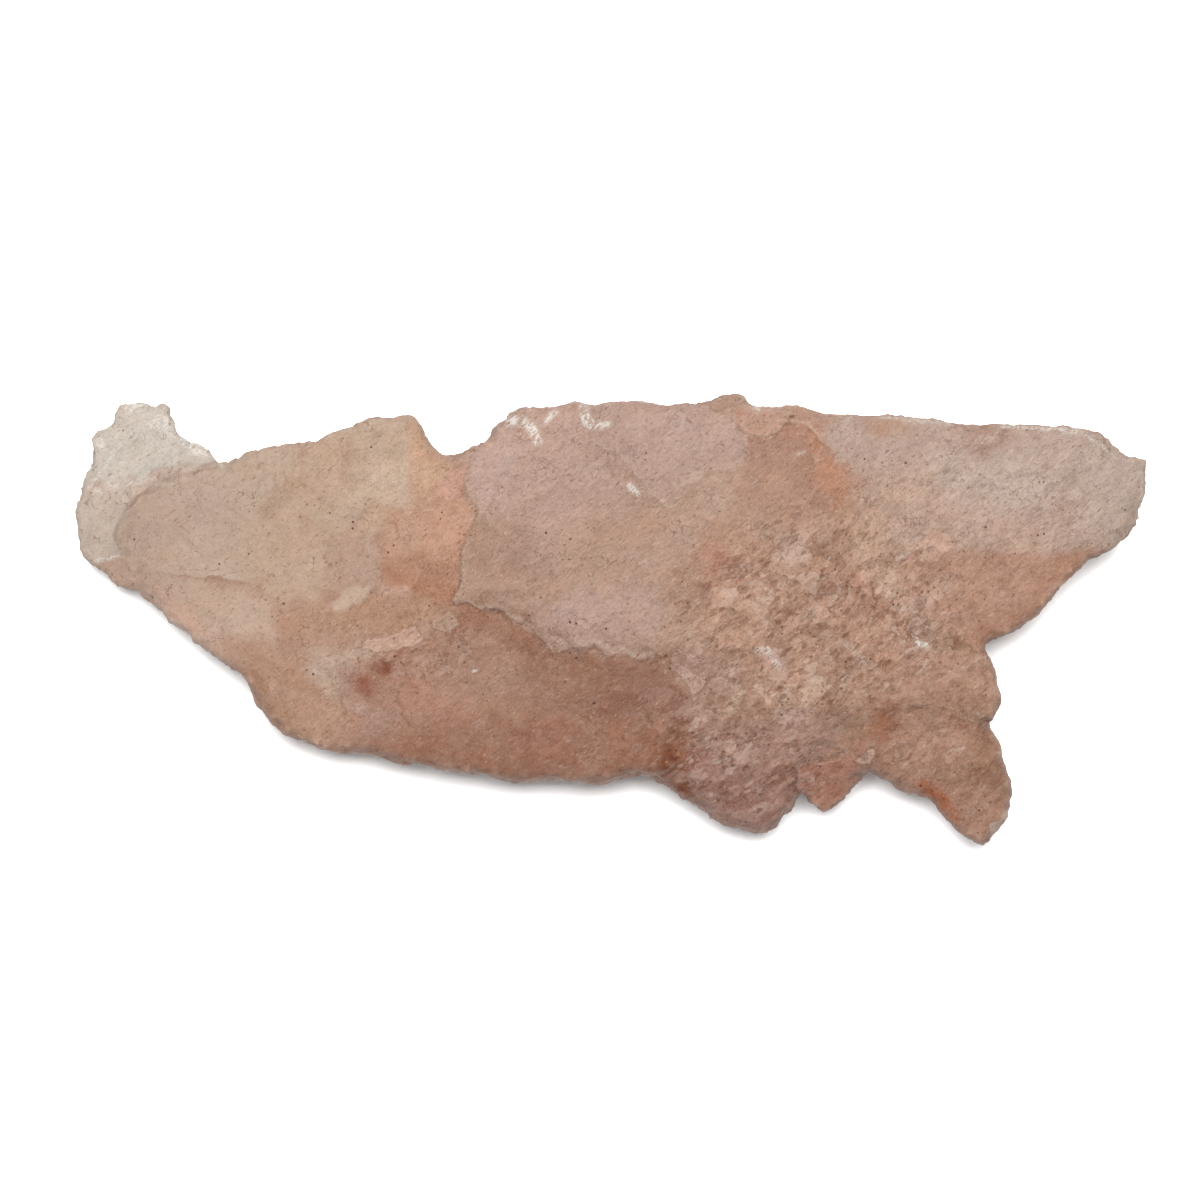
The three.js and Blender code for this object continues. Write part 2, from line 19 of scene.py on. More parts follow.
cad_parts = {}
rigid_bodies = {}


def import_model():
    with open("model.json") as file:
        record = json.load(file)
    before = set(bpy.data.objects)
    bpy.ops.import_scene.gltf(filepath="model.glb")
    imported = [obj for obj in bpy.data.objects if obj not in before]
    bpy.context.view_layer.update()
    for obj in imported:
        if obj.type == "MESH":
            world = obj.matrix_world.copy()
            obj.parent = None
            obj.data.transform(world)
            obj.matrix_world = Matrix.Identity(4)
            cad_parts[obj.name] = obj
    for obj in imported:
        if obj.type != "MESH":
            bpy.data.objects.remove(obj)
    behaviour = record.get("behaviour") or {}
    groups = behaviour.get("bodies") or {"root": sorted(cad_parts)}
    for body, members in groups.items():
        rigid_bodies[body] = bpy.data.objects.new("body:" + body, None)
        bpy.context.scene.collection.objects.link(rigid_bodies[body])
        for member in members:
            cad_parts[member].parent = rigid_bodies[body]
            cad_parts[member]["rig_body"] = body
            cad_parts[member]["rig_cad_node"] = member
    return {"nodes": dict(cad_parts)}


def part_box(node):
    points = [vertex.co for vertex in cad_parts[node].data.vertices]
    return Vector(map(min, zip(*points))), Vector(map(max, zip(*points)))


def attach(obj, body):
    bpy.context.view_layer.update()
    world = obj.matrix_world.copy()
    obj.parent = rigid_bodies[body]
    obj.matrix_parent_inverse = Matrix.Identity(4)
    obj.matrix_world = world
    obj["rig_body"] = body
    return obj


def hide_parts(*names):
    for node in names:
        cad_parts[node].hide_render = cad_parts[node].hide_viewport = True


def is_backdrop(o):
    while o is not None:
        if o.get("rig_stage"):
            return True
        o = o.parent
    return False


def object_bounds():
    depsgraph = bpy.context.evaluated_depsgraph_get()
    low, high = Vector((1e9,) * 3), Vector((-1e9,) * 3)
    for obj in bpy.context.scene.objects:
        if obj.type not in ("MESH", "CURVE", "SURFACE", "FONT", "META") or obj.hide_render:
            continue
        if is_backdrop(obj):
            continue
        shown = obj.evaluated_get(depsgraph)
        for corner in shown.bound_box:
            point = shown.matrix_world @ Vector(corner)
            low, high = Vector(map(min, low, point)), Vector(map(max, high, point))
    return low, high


MM = 0.001

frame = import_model()
cad_box = [list(corner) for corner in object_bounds()]
stone_cad = frame["nodes"]["morganite"]
low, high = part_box("morganite")
length, width, height = (high - low) / MM
print(f"the stone is {length:.1f} x {width:.1f} x {height:.1f} mm")

# %% [markdown]
# ## The table and the light
# A stone like this is looked at on a white table under a softbox that hangs almost overhead, a little to the far
# side. It leaves a thin line of shade under each ledge, and on the table a shadow that shows only right under the
# near edge, because the table around it is bright enough to turn plain white.

# %% Floor
FLOOR_SIZE = 3.0
TABLE_WHITE = (0.93, 0.93, 0.93)
TABLE_ROUGHNESS = 0.7


def select_only(piece=None):
    """Leaves just this piece selected, or nothing, so the next operator acts only on what it is given."""
    for item in bpy.context.selected_objects:
        item.select_set(False)
    if piece:
        piece.select_set(True)
        bpy.context.view_layer.objects.active = piece


select_only()
bpy.ops.mesh.primitive_plane_add(size=FLOOR_SIZE)
floor = bpy.context.object
floor.name = "floor"
table = bpy.data.materials.new("white_table")
table.use_nodes = True
table.node_tree.nodes["Principled BSDF"].inputs["Base Color"].default_value = (*TABLE_WHITE, 1)
table.node_tree.nodes["Principled BSDF"].inputs["Roughness"].default_value = TABLE_ROUGHNESS
floor.data.materials.append(table)
floor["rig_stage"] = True
print("floor", FLOOR_SIZE, "m wide")

# %% Lights
SOFTBOX_PLACE = Vector((0.0, 0.190, 0.777))  # metres from the middle of the table
SOFTBOX_SIZE = 0.34  # metres
SOFTBOX_POWER = 20.5  # watts
ROOM_LIGHT = 0.46  # strength of the white all around

light = bpy.data.lights.new("overhead_softbox", "AREA")
light.size = SOFTBOX_SIZE
light.energy = SOFTBOX_POWER
softbox = bpy.data.objects.new("overhead_softbox", light)
softbox.location = SOFTBOX_PLACE
softbox.rotation_euler = SOFTBOX_PLACE.to_track_quat("Z", "Y").to_euler()  # it looks at the stone
bpy.context.scene.collection.objects.link(softbox)

world = bpy.data.worlds.new("bright_room")
world.use_nodes = True
world.node_tree.nodes["Background"].inputs["Color"].default_value = (1.0, 1.0, 1.0, 1)
world.node_tree.nodes["Background"].inputs["Strength"].default_value = ROOM_LIGHT
bpy.context.scene.world = world
bpy.context.scene.view_settings.view_transform = "Standard"
print(f"one softbox of {SOFTBOX_POWER} W and a white room")

# %% Camera
# The stone is seen from straight above, with its long straight edge at the top.
CAMERA_HEIGHT = 0.50
VIEW_WIDTH = 73.85 * MM
VIEW_CENTRE = (-0.61 * MM, 1.28 * MM)
FACE_LEVEL = 0.7  # where most of the face lies, as a share of the height; the view is VIEW_WIDTH wide there

camera_data = bpy.data.cameras.new("camera")
camera = bpy.data.objects.new("camera", camera_data)
bpy.context.scene.collection.objects.link(camera)
bpy.context.scene.camera = camera
camera.location = (*VIEW_CENTRE, CAMERA_HEIGHT)
camera_data.lens_unit = "FOV"
camera_data.angle = 2 * math.atan(VIEW_WIDTH / 2 / (CAMERA_HEIGHT - FACE_LEVEL * high.z))
camera_data.clip_start = 0.01
camera_data.dof.use_dof = False
print(f"camera {CAMERA_HEIGHT} m above the table, {math.degrees(camera_data.angle):.1f} degrees wide")

# %% [markdown]
# ## A fine mesh
# The CAD solid has large flat faces with sharp corners, too few to carry chips and pits. It could be subdivided, but
# its triangles are long and thin, and the pattern would show. A voxel remesh gives small even faces all over, so
# the surface can be shaped the same way everywhere. The copy is merged first, because the CAD mesh is loose
# triangles.

# %% Copy and remesh
MERGE_DISTANCE = 0.005 * MM
VOXEL = 0.21 * MM


def apply_modifier(kind, **settings):
    """Adds a modifier to the stone, sets it and applies it at once."""
    modifier = stone.modifiers.new(kind.lower(), kind)
    for name, value in settings.items():
        setattr(modifier, name, value)
    bpy.ops.object.modifier_apply(modifier=modifier.name)


stone = stone_cad.copy()
stone.data = stone_cad.data.copy()
stone.name = "morganite_stone"
stone.parent = None
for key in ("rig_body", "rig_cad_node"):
    del stone[key]
bpy.context.scene.collection.objects.link(stone)
select_only(stone)
bpy.ops.object.mode_set(mode="EDIT")
bpy.ops.mesh.select_all(action="SELECT")
bpy.ops.mesh.remove_doubles(threshold=MERGE_DISTANCE)
bpy.ops.mesh.normals_make_consistent(inside=False)
bpy.ops.object.mode_set(mode="OBJECT")
apply_modifier("REMESH", mode="VOXEL", voxel_size=VOXEL, adaptivity=0.0)
apply_modifier("SMOOTH", factor=0.5, iterations=1)
print(f"{len(stone.data.polygons)} faces after the remesh")

# %% [markdown]
# ## Breaking the surface
# Beryl breaks in shallow curved steps, and this stone is also pitted and crumbly in its right half. Sculpting each
# step by hand would take days. Displace modifiers push the fine mesh along its normals by a procedural texture: a
# stepped colour ramp on a slow noise turns it into terraces with scalloped edges, and round cells leave the little
# bowls of a chipped rim. Vertex groups say where each pattern is strong.

# %% Where each kind of breakage is strong
WEIGHT_LEVELS = 20  # a weight is rounded to one of these
CRUMBLY_SPOTS = [  # how strong, the centre and the half-widths on the plan, in millimetres
    (1.0, (13.0, 0.0), (8.5, 6.0)),
    (0.9, (8.0, -8.5), (6.0, 4.0)),
    (0.45, (21.0, -6.0), (5.0, 6.0)),
    (0.35, (-12.0, -1.0), (5.0, 3.0)),
    (0.3, (24.0, 6.0), (10.0, 5.0)),
]


def vertex_values(name):
    """Three numbers of each vertex of the stone, such as its place or its normal."""
    flat = np.empty(len(stone.data.vertices) * 3)
    stone.data.vertices.foreach_get(name, flat)
    return flat.reshape(-1, 3)


def vertex_places():
    return vertex_values("co") / MM


def facing():
    """The upward part of each normal: 1 on a level face, 0 on a wall, -1 underneath."""
    return vertex_values("normal")[:, 2]


def ease(values, start, end):
    """Eases from 0 to 1 as the values go from start to end."""
    share = np.clip((values - start) / (end - start), 0, 1)
    return share * share * (3 - 2 * share)


def soft_spot(places, centre, size, edge=0.4):
    """1 inside an ellipse on the plan, fading to 0 over a soft edge."""
    offset = (places[:, :2] - np.array(centre)) / np.array(size)
    return ease(np.sqrt((offset**2).sum(1)), 1 + edge, 1 - edge)


def paint_group(name, weights):
    """A vertex group with those weights, rounded so that equal ones are set together."""
    group = stone.vertex_groups.new(name=name)
    levels = np.round(np.clip(weights, 0, 1) * WEIGHT_LEVELS).astype(int)
    for level in np.unique(levels[levels > 0]):
        group.add(np.nonzero(levels == level)[0].tolist(), level / WEIGHT_LEVELS, "REPLACE")


places = vertex_places()
crumbly = np.maximum.reduce([full * soft_spot(places, centre, size) for full, centre, size in CRUMBLY_SPOTS])
above_table = ease(places[:, 2], 0.25, 0.85)  # nothing breaks where the stone rests
paint_group("broken", above_table)
paint_group("crumbly", above_table * crumbly)
paint_group("smooth_steps", above_table * (1 - 0.75 * crumbly))
paint_group("rims", above_table * ease(1 - np.abs(facing()), 0.1, 0.6))
print(f"{(crumbly > 0.5).mean():.0%} of the surface is crumbly")

# %% Wear the middle of the top
# The blades step down in real ledges, but handling has rounded them. Away from the outline the top is smoothed
# until a ledge is a soft slope, and the rims stay sharp.
WORN_ROUNDS = 240  # rounds of smoothing
CELL = 0.3  # millimetres, a little more than the distance between two vertices


def depth_inside(places):
    """How far inside the outline on the plan each vertex lies, in millimetres, counted in whole cells."""
    cells = np.floor(places[:, :2] / CELL).astype(int)
    cells -= cells.min(axis=0) - 1
    filled = np.zeros(cells.max(axis=0) + 2, dtype=bool)
    filled[cells[:, 0], cells[:, 1]] = True
    depth = np.zeros(filled.shape)
    while filled.any():
        depth[filled] += CELL
        kept = filled.copy()
        for axis in (0, 1):
            for step in (-1, 1):
                kept &= np.roll(filled, step, axis)
        filled = kept
    return depth[cells[:, 0], cells[:, 1]]


paint_group("worn", ease(facing(), -0.3, 0.3) * above_table * ease(depth_inside(places), 0.3, 1.2))
apply_modifier("SMOOTH", factor=0.5, iterations=WORN_ROUNDS, vertex_group="worn")
print("the middle is worn over", WORN_ROUNDS, "rounds")

# %% Pull the outline into shape
# The rim of the CAD solid runs straight between its corners. Here short stretches of it are pulled in or out, as
# with proportional editing. Each row has the middle of a pull, how far it goes, and how wide it reaches, in
# millimetres.
PULLS = [
    (-32.4, 5.5, -0.55, -0.12, 2), (-32, 4.2, -0.49, -0.49, 1.5), (-30.4, 2.5, -0.31, -0.43, 1.5),
    (-27.2, 0, -0.18, -0.31, 1.7), (-22.5, -4.4, 0.37, 0.31, 1.8), (-32.4, 8.8, -0.37, 0, 1.5),
    (-31.5, 11.3, -0.25, 0.18, 1.3), (-30.2, 13, -0.37, 0.31, 1.1), (-27.7, 13.1, 0.18, 0.25, 0.9),
    (-26.6, 11.9, -0.31, -0.25, 1.3), (-24.9, 10.5, 0.25, 0.31, 1.5), (-21.7, 10.7, 0, 0.25, 1.5),
    (-16.9, 11.6, -0.06, 0.25, 2.3), (-11.8, 12.1, 0.43, 0.37, 1.8), (-7, 12.9, 0.12, -0.25, 1.5),
    (-12.9, -8.4, 0, -0.31, 1.8), (-9.8, -9, 0, -0.31, 2.3), (-5.5, -9.5, 0, -0.31, 3.2), (-0.6, -9.8, 0, -0.31, 3.7),
    (7.1, -12.4, -0.06, -0.25, 2.8), (11.7, -11.5, 0.37, -0.18, 1.5), (13.1, -11.6, 0, -0.37, 1.5),
    (18.5, -10, -0.18, -0.31, 1.7), (24.5, -10.1, 0.25, 0, 1.8), (23.9, -5.2, 0.31, 0, 1.3),
    (23.5, -1.6, -0.31, 0.18, 1.1), (27.4, 2.2, -0.31, 0.25, 2.3), (29.9, 4.3, 0.06, -0.31, 1.3),
    (29, 11.9, 0, 0.25, 2.8), (7.9, 13.6, 0.18, 0.31, 1.1), (21.6, 12.4, 0, -0.18, 2.3), (3.4, 13.5, 0, -0.18, 1.4),
    (5.4, 13.5, 0, 0.31, 0.9), (11.7, 13.1, 0, 0.18, 1.8),
]

places = vertex_places()
plan = places[:, :2].copy()
for x, y, right, up, reach in PULLS:
    away = np.linalg.norm(plan - np.array((x, y)), axis=1)
    places[:, :2] += ease(away, reach, 0.0)[:, None] * np.array((right, up))
stone.data.vertices.foreach_set("co", (places * MM).ravel())
stone.data.update()
print(len(PULLS), "pulls on the outline")

# %% Textures for the breakage
def noise_texture(name, size, contrast, depth, basis="ORIGINAL_PERLIN", hard=False):
    """A noise with its slowest waves size millimetres long; hard noise has creases where soft noise has slopes."""
    texture = bpy.data.textures.new(name, "CLOUDS")
    texture.noise_scale = size * MM
    texture.noise_depth = depth
    texture.noise_basis = basis
    texture.noise_type = "HARD_NOISE" if hard else "SOFT_NOISE"
    texture.contrast = contrast
    return texture


def terrace(texture, steps, riser):
    """Turns the texture's slow slopes into flat treads, with risers between them that take up this share."""
    texture.use_color_ramp = True
    ramp = texture.color_ramp
    ramp.interpolation = "LINEAR"
    while len(ramp.elements) > 1:
        ramp.elements.remove(ramp.elements[-1])
    ramp.elements[0].position = 0.0
    ramp.elements[0].color = (0, 0, 0, 1)
    for step in range(steps):
        level = step / (steps - 1)
        start, end = step / steps, (step + 1) / steps
        for place in (start + riser * (end - start), end):
            ramp.elements.new(min(place, 1.0)).color = (level, level, level, 1)
    return texture


TERRACE_STEPS = 9
RISER = 0.25  # share of a step
# the texture, how far it moves the surface in millimetres, and the vertex group that it works in
BREAKAGE = [
    (terrace(noise_texture("broad_cleavage_steps", 7.0, 1.6, 3), TERRACE_STEPS, RISER), 0.13, "smooth_steps"),
    (terrace(noise_texture("small_cleavage_steps", 2.6, 1.7, 3), TERRACE_STEPS, RISER), 0.11, "broken"),
    (noise_texture("chipped_bowls", 1.5, 1.0, 0, "VORONOI_F1"), 0.06, "broken"),
    (noise_texture("lumps", 1.3, 1.3, 2), 0.10, "crumbly"),
    (noise_texture("crumbs", 0.75, 1.4, 1, "VORONOI_F1", True), 0.10, "crumbly"),
    (noise_texture("nicks", 0.9, 1.5, 2), 0.28, "rims"),
    (noise_texture("small_nicks", 0.42, 1.5, 1), 0.12, "rims"),
    (noise_texture("pits", 0.45, 1.4, 1), 0.07, "broken"),
]
print(len(BREAKAGE), "kinds of breakage")

# %% Displace
SHARP_ANGLE = 40  # degrees between two faces from which their edge stays sharp

for texture, depth, group in BREAKAGE:
    apply_modifier(
        "DISPLACE",
        texture=texture,
        texture_coords="LOCAL",
        direction="NORMAL",
        mid_level=0.5,
        strength=depth * MM,
        vertex_group=group,
    )
select_only(stone)
bpy.ops.object.shade_smooth_by_angle(angle=math.radians(SHARP_ANGLE))
triangles = sum(len(face.vertices) - 2 for face in stone.data.polygons)
print(f"{triangles} triangles")

# %% [markdown]
# ## What the stone knows about itself
# A ridge is made paler and a hollow darker. A steep wall gets painted shade, darker and redder, and a crumbly part
# has stronger markings. The material can't measure any of that, but the mesh can: comparing a vertex with its
# smoothed neighbours tells a ridge from a hollow, and its normal tells a wall. What is found is stored in attributes
# that the material reads.

# %% Crumble, walls, ridges and hollows
RELIEF_ROUNDS = 6  # rounds of smoothing that make the surroundings
EDGE_RELIEF = 0.11  # millimetres that a full ridge stands out from its surroundings
SMOOTH_LEAF = ((-24.0, 3.0), (11.0, 7.0))  # the left blade, whose grain is finest


def store_attribute(name, values, kind="FLOAT"):
    layer = stone.data.attributes.new(name, kind, "POINT")
    field = "vector" if kind == "FLOAT_VECTOR" else "value"
    layer.data.foreach_set(field, np.asarray(values, dtype=np.float32).ravel())


def edge_relief(rounds):
    """From -1 in a hollow to 1 on a ridge, against the surface smoothed over that many rounds."""
    edges = np.empty(len(stone.data.edges) * 2, dtype=np.int64)
    stone.data.edges.foreach_get("vertices", edges)
    start, end = edges.reshape(-1, 2).T
    count = len(stone.data.vertices)
    neighbours = np.bincount(start, minlength=count) + np.bincount(end, minlength=count)
    own = vertex_places()
    smooth = own.copy()
    for _ in range(rounds):
        for axis in range(3):
            column = smooth[:, axis]
            total = np.bincount(start, column[end], count) + np.bincount(end, column[start], count)
            smooth[:, axis] = total / neighbours
    stands_out = ((own - smooth) * vertex_values("normal")).sum(1)
    return np.clip(stands_out / EDGE_RELIEF, -1, 1)


store_attribute("crumble", crumbly)
store_attribute("grainy", 1.0 + 0.5 * crumbly - 0.4 * soft_spot(places, *SMOOTH_LEAF))
relief = edge_relief(RELIEF_ROUNDS)
# ridge and hollow: the material makes a ridge paler and a hollow darker
store_attribute("ridge", np.clip(relief, 0, 1))
store_attribute("hollow", np.clip(-relief, 0, 1))
# where the surface is steep; the material paints shade there, darker and redder
store_attribute("wall", ease(1 - np.abs(facing()), 0.35, 0.85))
print(f"{(relief > 0.3).mean():.0%} ridge, {(relief < -0.3).mean():.0%} hollow")

# %% [markdown]
# ## Where the colours lie
# The left end is beige and nearly clear at its tip, an orange seam of iron runs down beside the mauve middle blade,
# the low front is brown, the right half is sandy and pitted, and the right arm is pale. Placing these as textures
# would be guesswork, so each zone is drawn as an outline on the plan and painted into a colour attribute of the
# mesh. A noise bends the outlines, and each has its own softness: a zone that ends at a ledge ends sharply, and a
# stain in the stone fades out.

# %% Palette
MIRRORED = np.array((0.040, 0.066, 0.068))  # light that the surface throws straight back, whatever its colour
BRIGHTNESS = np.array((2.26, 2.10, 2.06))  # how bright this light makes a white stone, in each channel


def seen(red, green, blue):
    """A colour as it shows on the bright table, in 0-255 screen values, as linear light."""
    def linear(value):
        share = value / 255
        return share / 12.92 if share <= 0.04045 else ((share + 0.055) / 1.055) ** 2.4
    return np.array((linear(red), linear(green), linear(blue)))


CLEAR = seen(200, 188, 176)
TIP_SHADE = seen(195, 177, 162)
BAND = seen(198, 176, 160)
BEIGE = seen(187, 164, 145)
LEAF = seen(181, 158, 141)
ROSY_BEIGE = seen(190, 163, 145)
PINK_RIM = seen(203, 170, 151)
BUFF = seen(190, 162, 141)
# painted shade: the darker facet in the shadow of the left shelf's diagonal ledge
SHELF_PAINTED_SHADE = seen(179, 152, 132)
STRAW = seen(185, 160, 139)
PALE_STRAW = seen(197, 171, 150)
PEACH = seen(197, 161, 134)
DEEP_PEACH = seen(184, 147, 122)
PALE_PEACH = seen(200, 158, 138)
ORANGE = seen(193, 153, 130)
RUST = seen(175, 131, 107)
FACET_EDGE = seen(193, 161, 139)
OLIVE = seen(183, 152, 134)
OLIVE_BROWN = seen(178, 141, 119)
ROSY = seen(176, 140, 119)
BROWN = seen(168, 129, 111)
ROSY_GREY = seen(161, 127, 110)
DARK_BROWN = seen(152, 116, 99)
PURPLE = seen(145, 110, 96)
RED_BROWN = seen(150, 112, 94)
ORANGE_BROWN = seen(150, 112, 95)
GREY_ROSE = seen(169, 136, 121)
DARK_RED = seen(135, 86, 69)
WHITE_PATCH = seen(195, 169, 150)
PALE_PATCH = seen(198, 161, 142)
PALE_SAND = seen(184, 152, 132)
DEEP_MAUVE = seen(174, 143, 125)
MAUVE = seen(181, 151, 136)
LILAC = seen(186, 157, 144)
GREY_MAUVE = seen(168, 137, 121)
PALE_MAUVE = seen(180, 151, 137)
SAND = seen(171, 137, 118)
HUMP_BROWN = seen(168, 132, 115)
SCALLOP = seen(182, 145, 126)
PALE_ARM = seen(178, 154, 140)
ARM_SHADE = seen(184, 155, 138)
GREY_ARM = seen(181, 161, 148)
ARM_LIGHT = seen(185, 165, 151)
ARM_ROSE = seen(163, 134, 120)
RED_SAND = seen(173, 136, 117)
UNDER_ROSE = seen(170, 131, 111)
ROSY_BROWN = seen(170, 134, 115)
RIDGE_RED = seen(174, 134, 116)
GREY = seen(166, 135, 118)
OLIVE_FACET = seen(146, 114, 95)
GREY_SAND = seen(161, 130, 115)
GREY_BROWN = seen(158, 124, 112)
DARK_ROSE = seen(136, 95, 76)
SLAB = seen(175, 141, 120)
ROSE_SLAB = seen(180, 146, 132)
FOOT_BROWN = seen(164, 129, 111)
OLIVE_FOOT = seen(174, 139, 122)
DARK_FOOT = seen(146, 113, 95)
RUST_BROWN = seen(159, 119, 100)
BURNT_ORANGE = seen(170, 111, 86)
GREY_BEIGE = seen(186, 166, 150)
TOE = seen(175, 130, 113)
RUST_STAIN = seen(170, 128, 109)
DEEP_RED = seen(136, 99, 85)
# painted highlight: the white of light glinting on rims and edges
PAINTED_GLINT = seen(236, 227, 217)
# pale marks of the stone, and also the colour of painted highlights on ledge rims and flake rims
FROST_AND_HIGHLIGHT = seen(208, 187, 173)
# dark marks of the stone, and also the colour of painted shade beside flake rims
DIRT_AND_SHADE = seen(122, 84, 68)
SOOT = seen(66, 48, 42)
print("the palette is set")

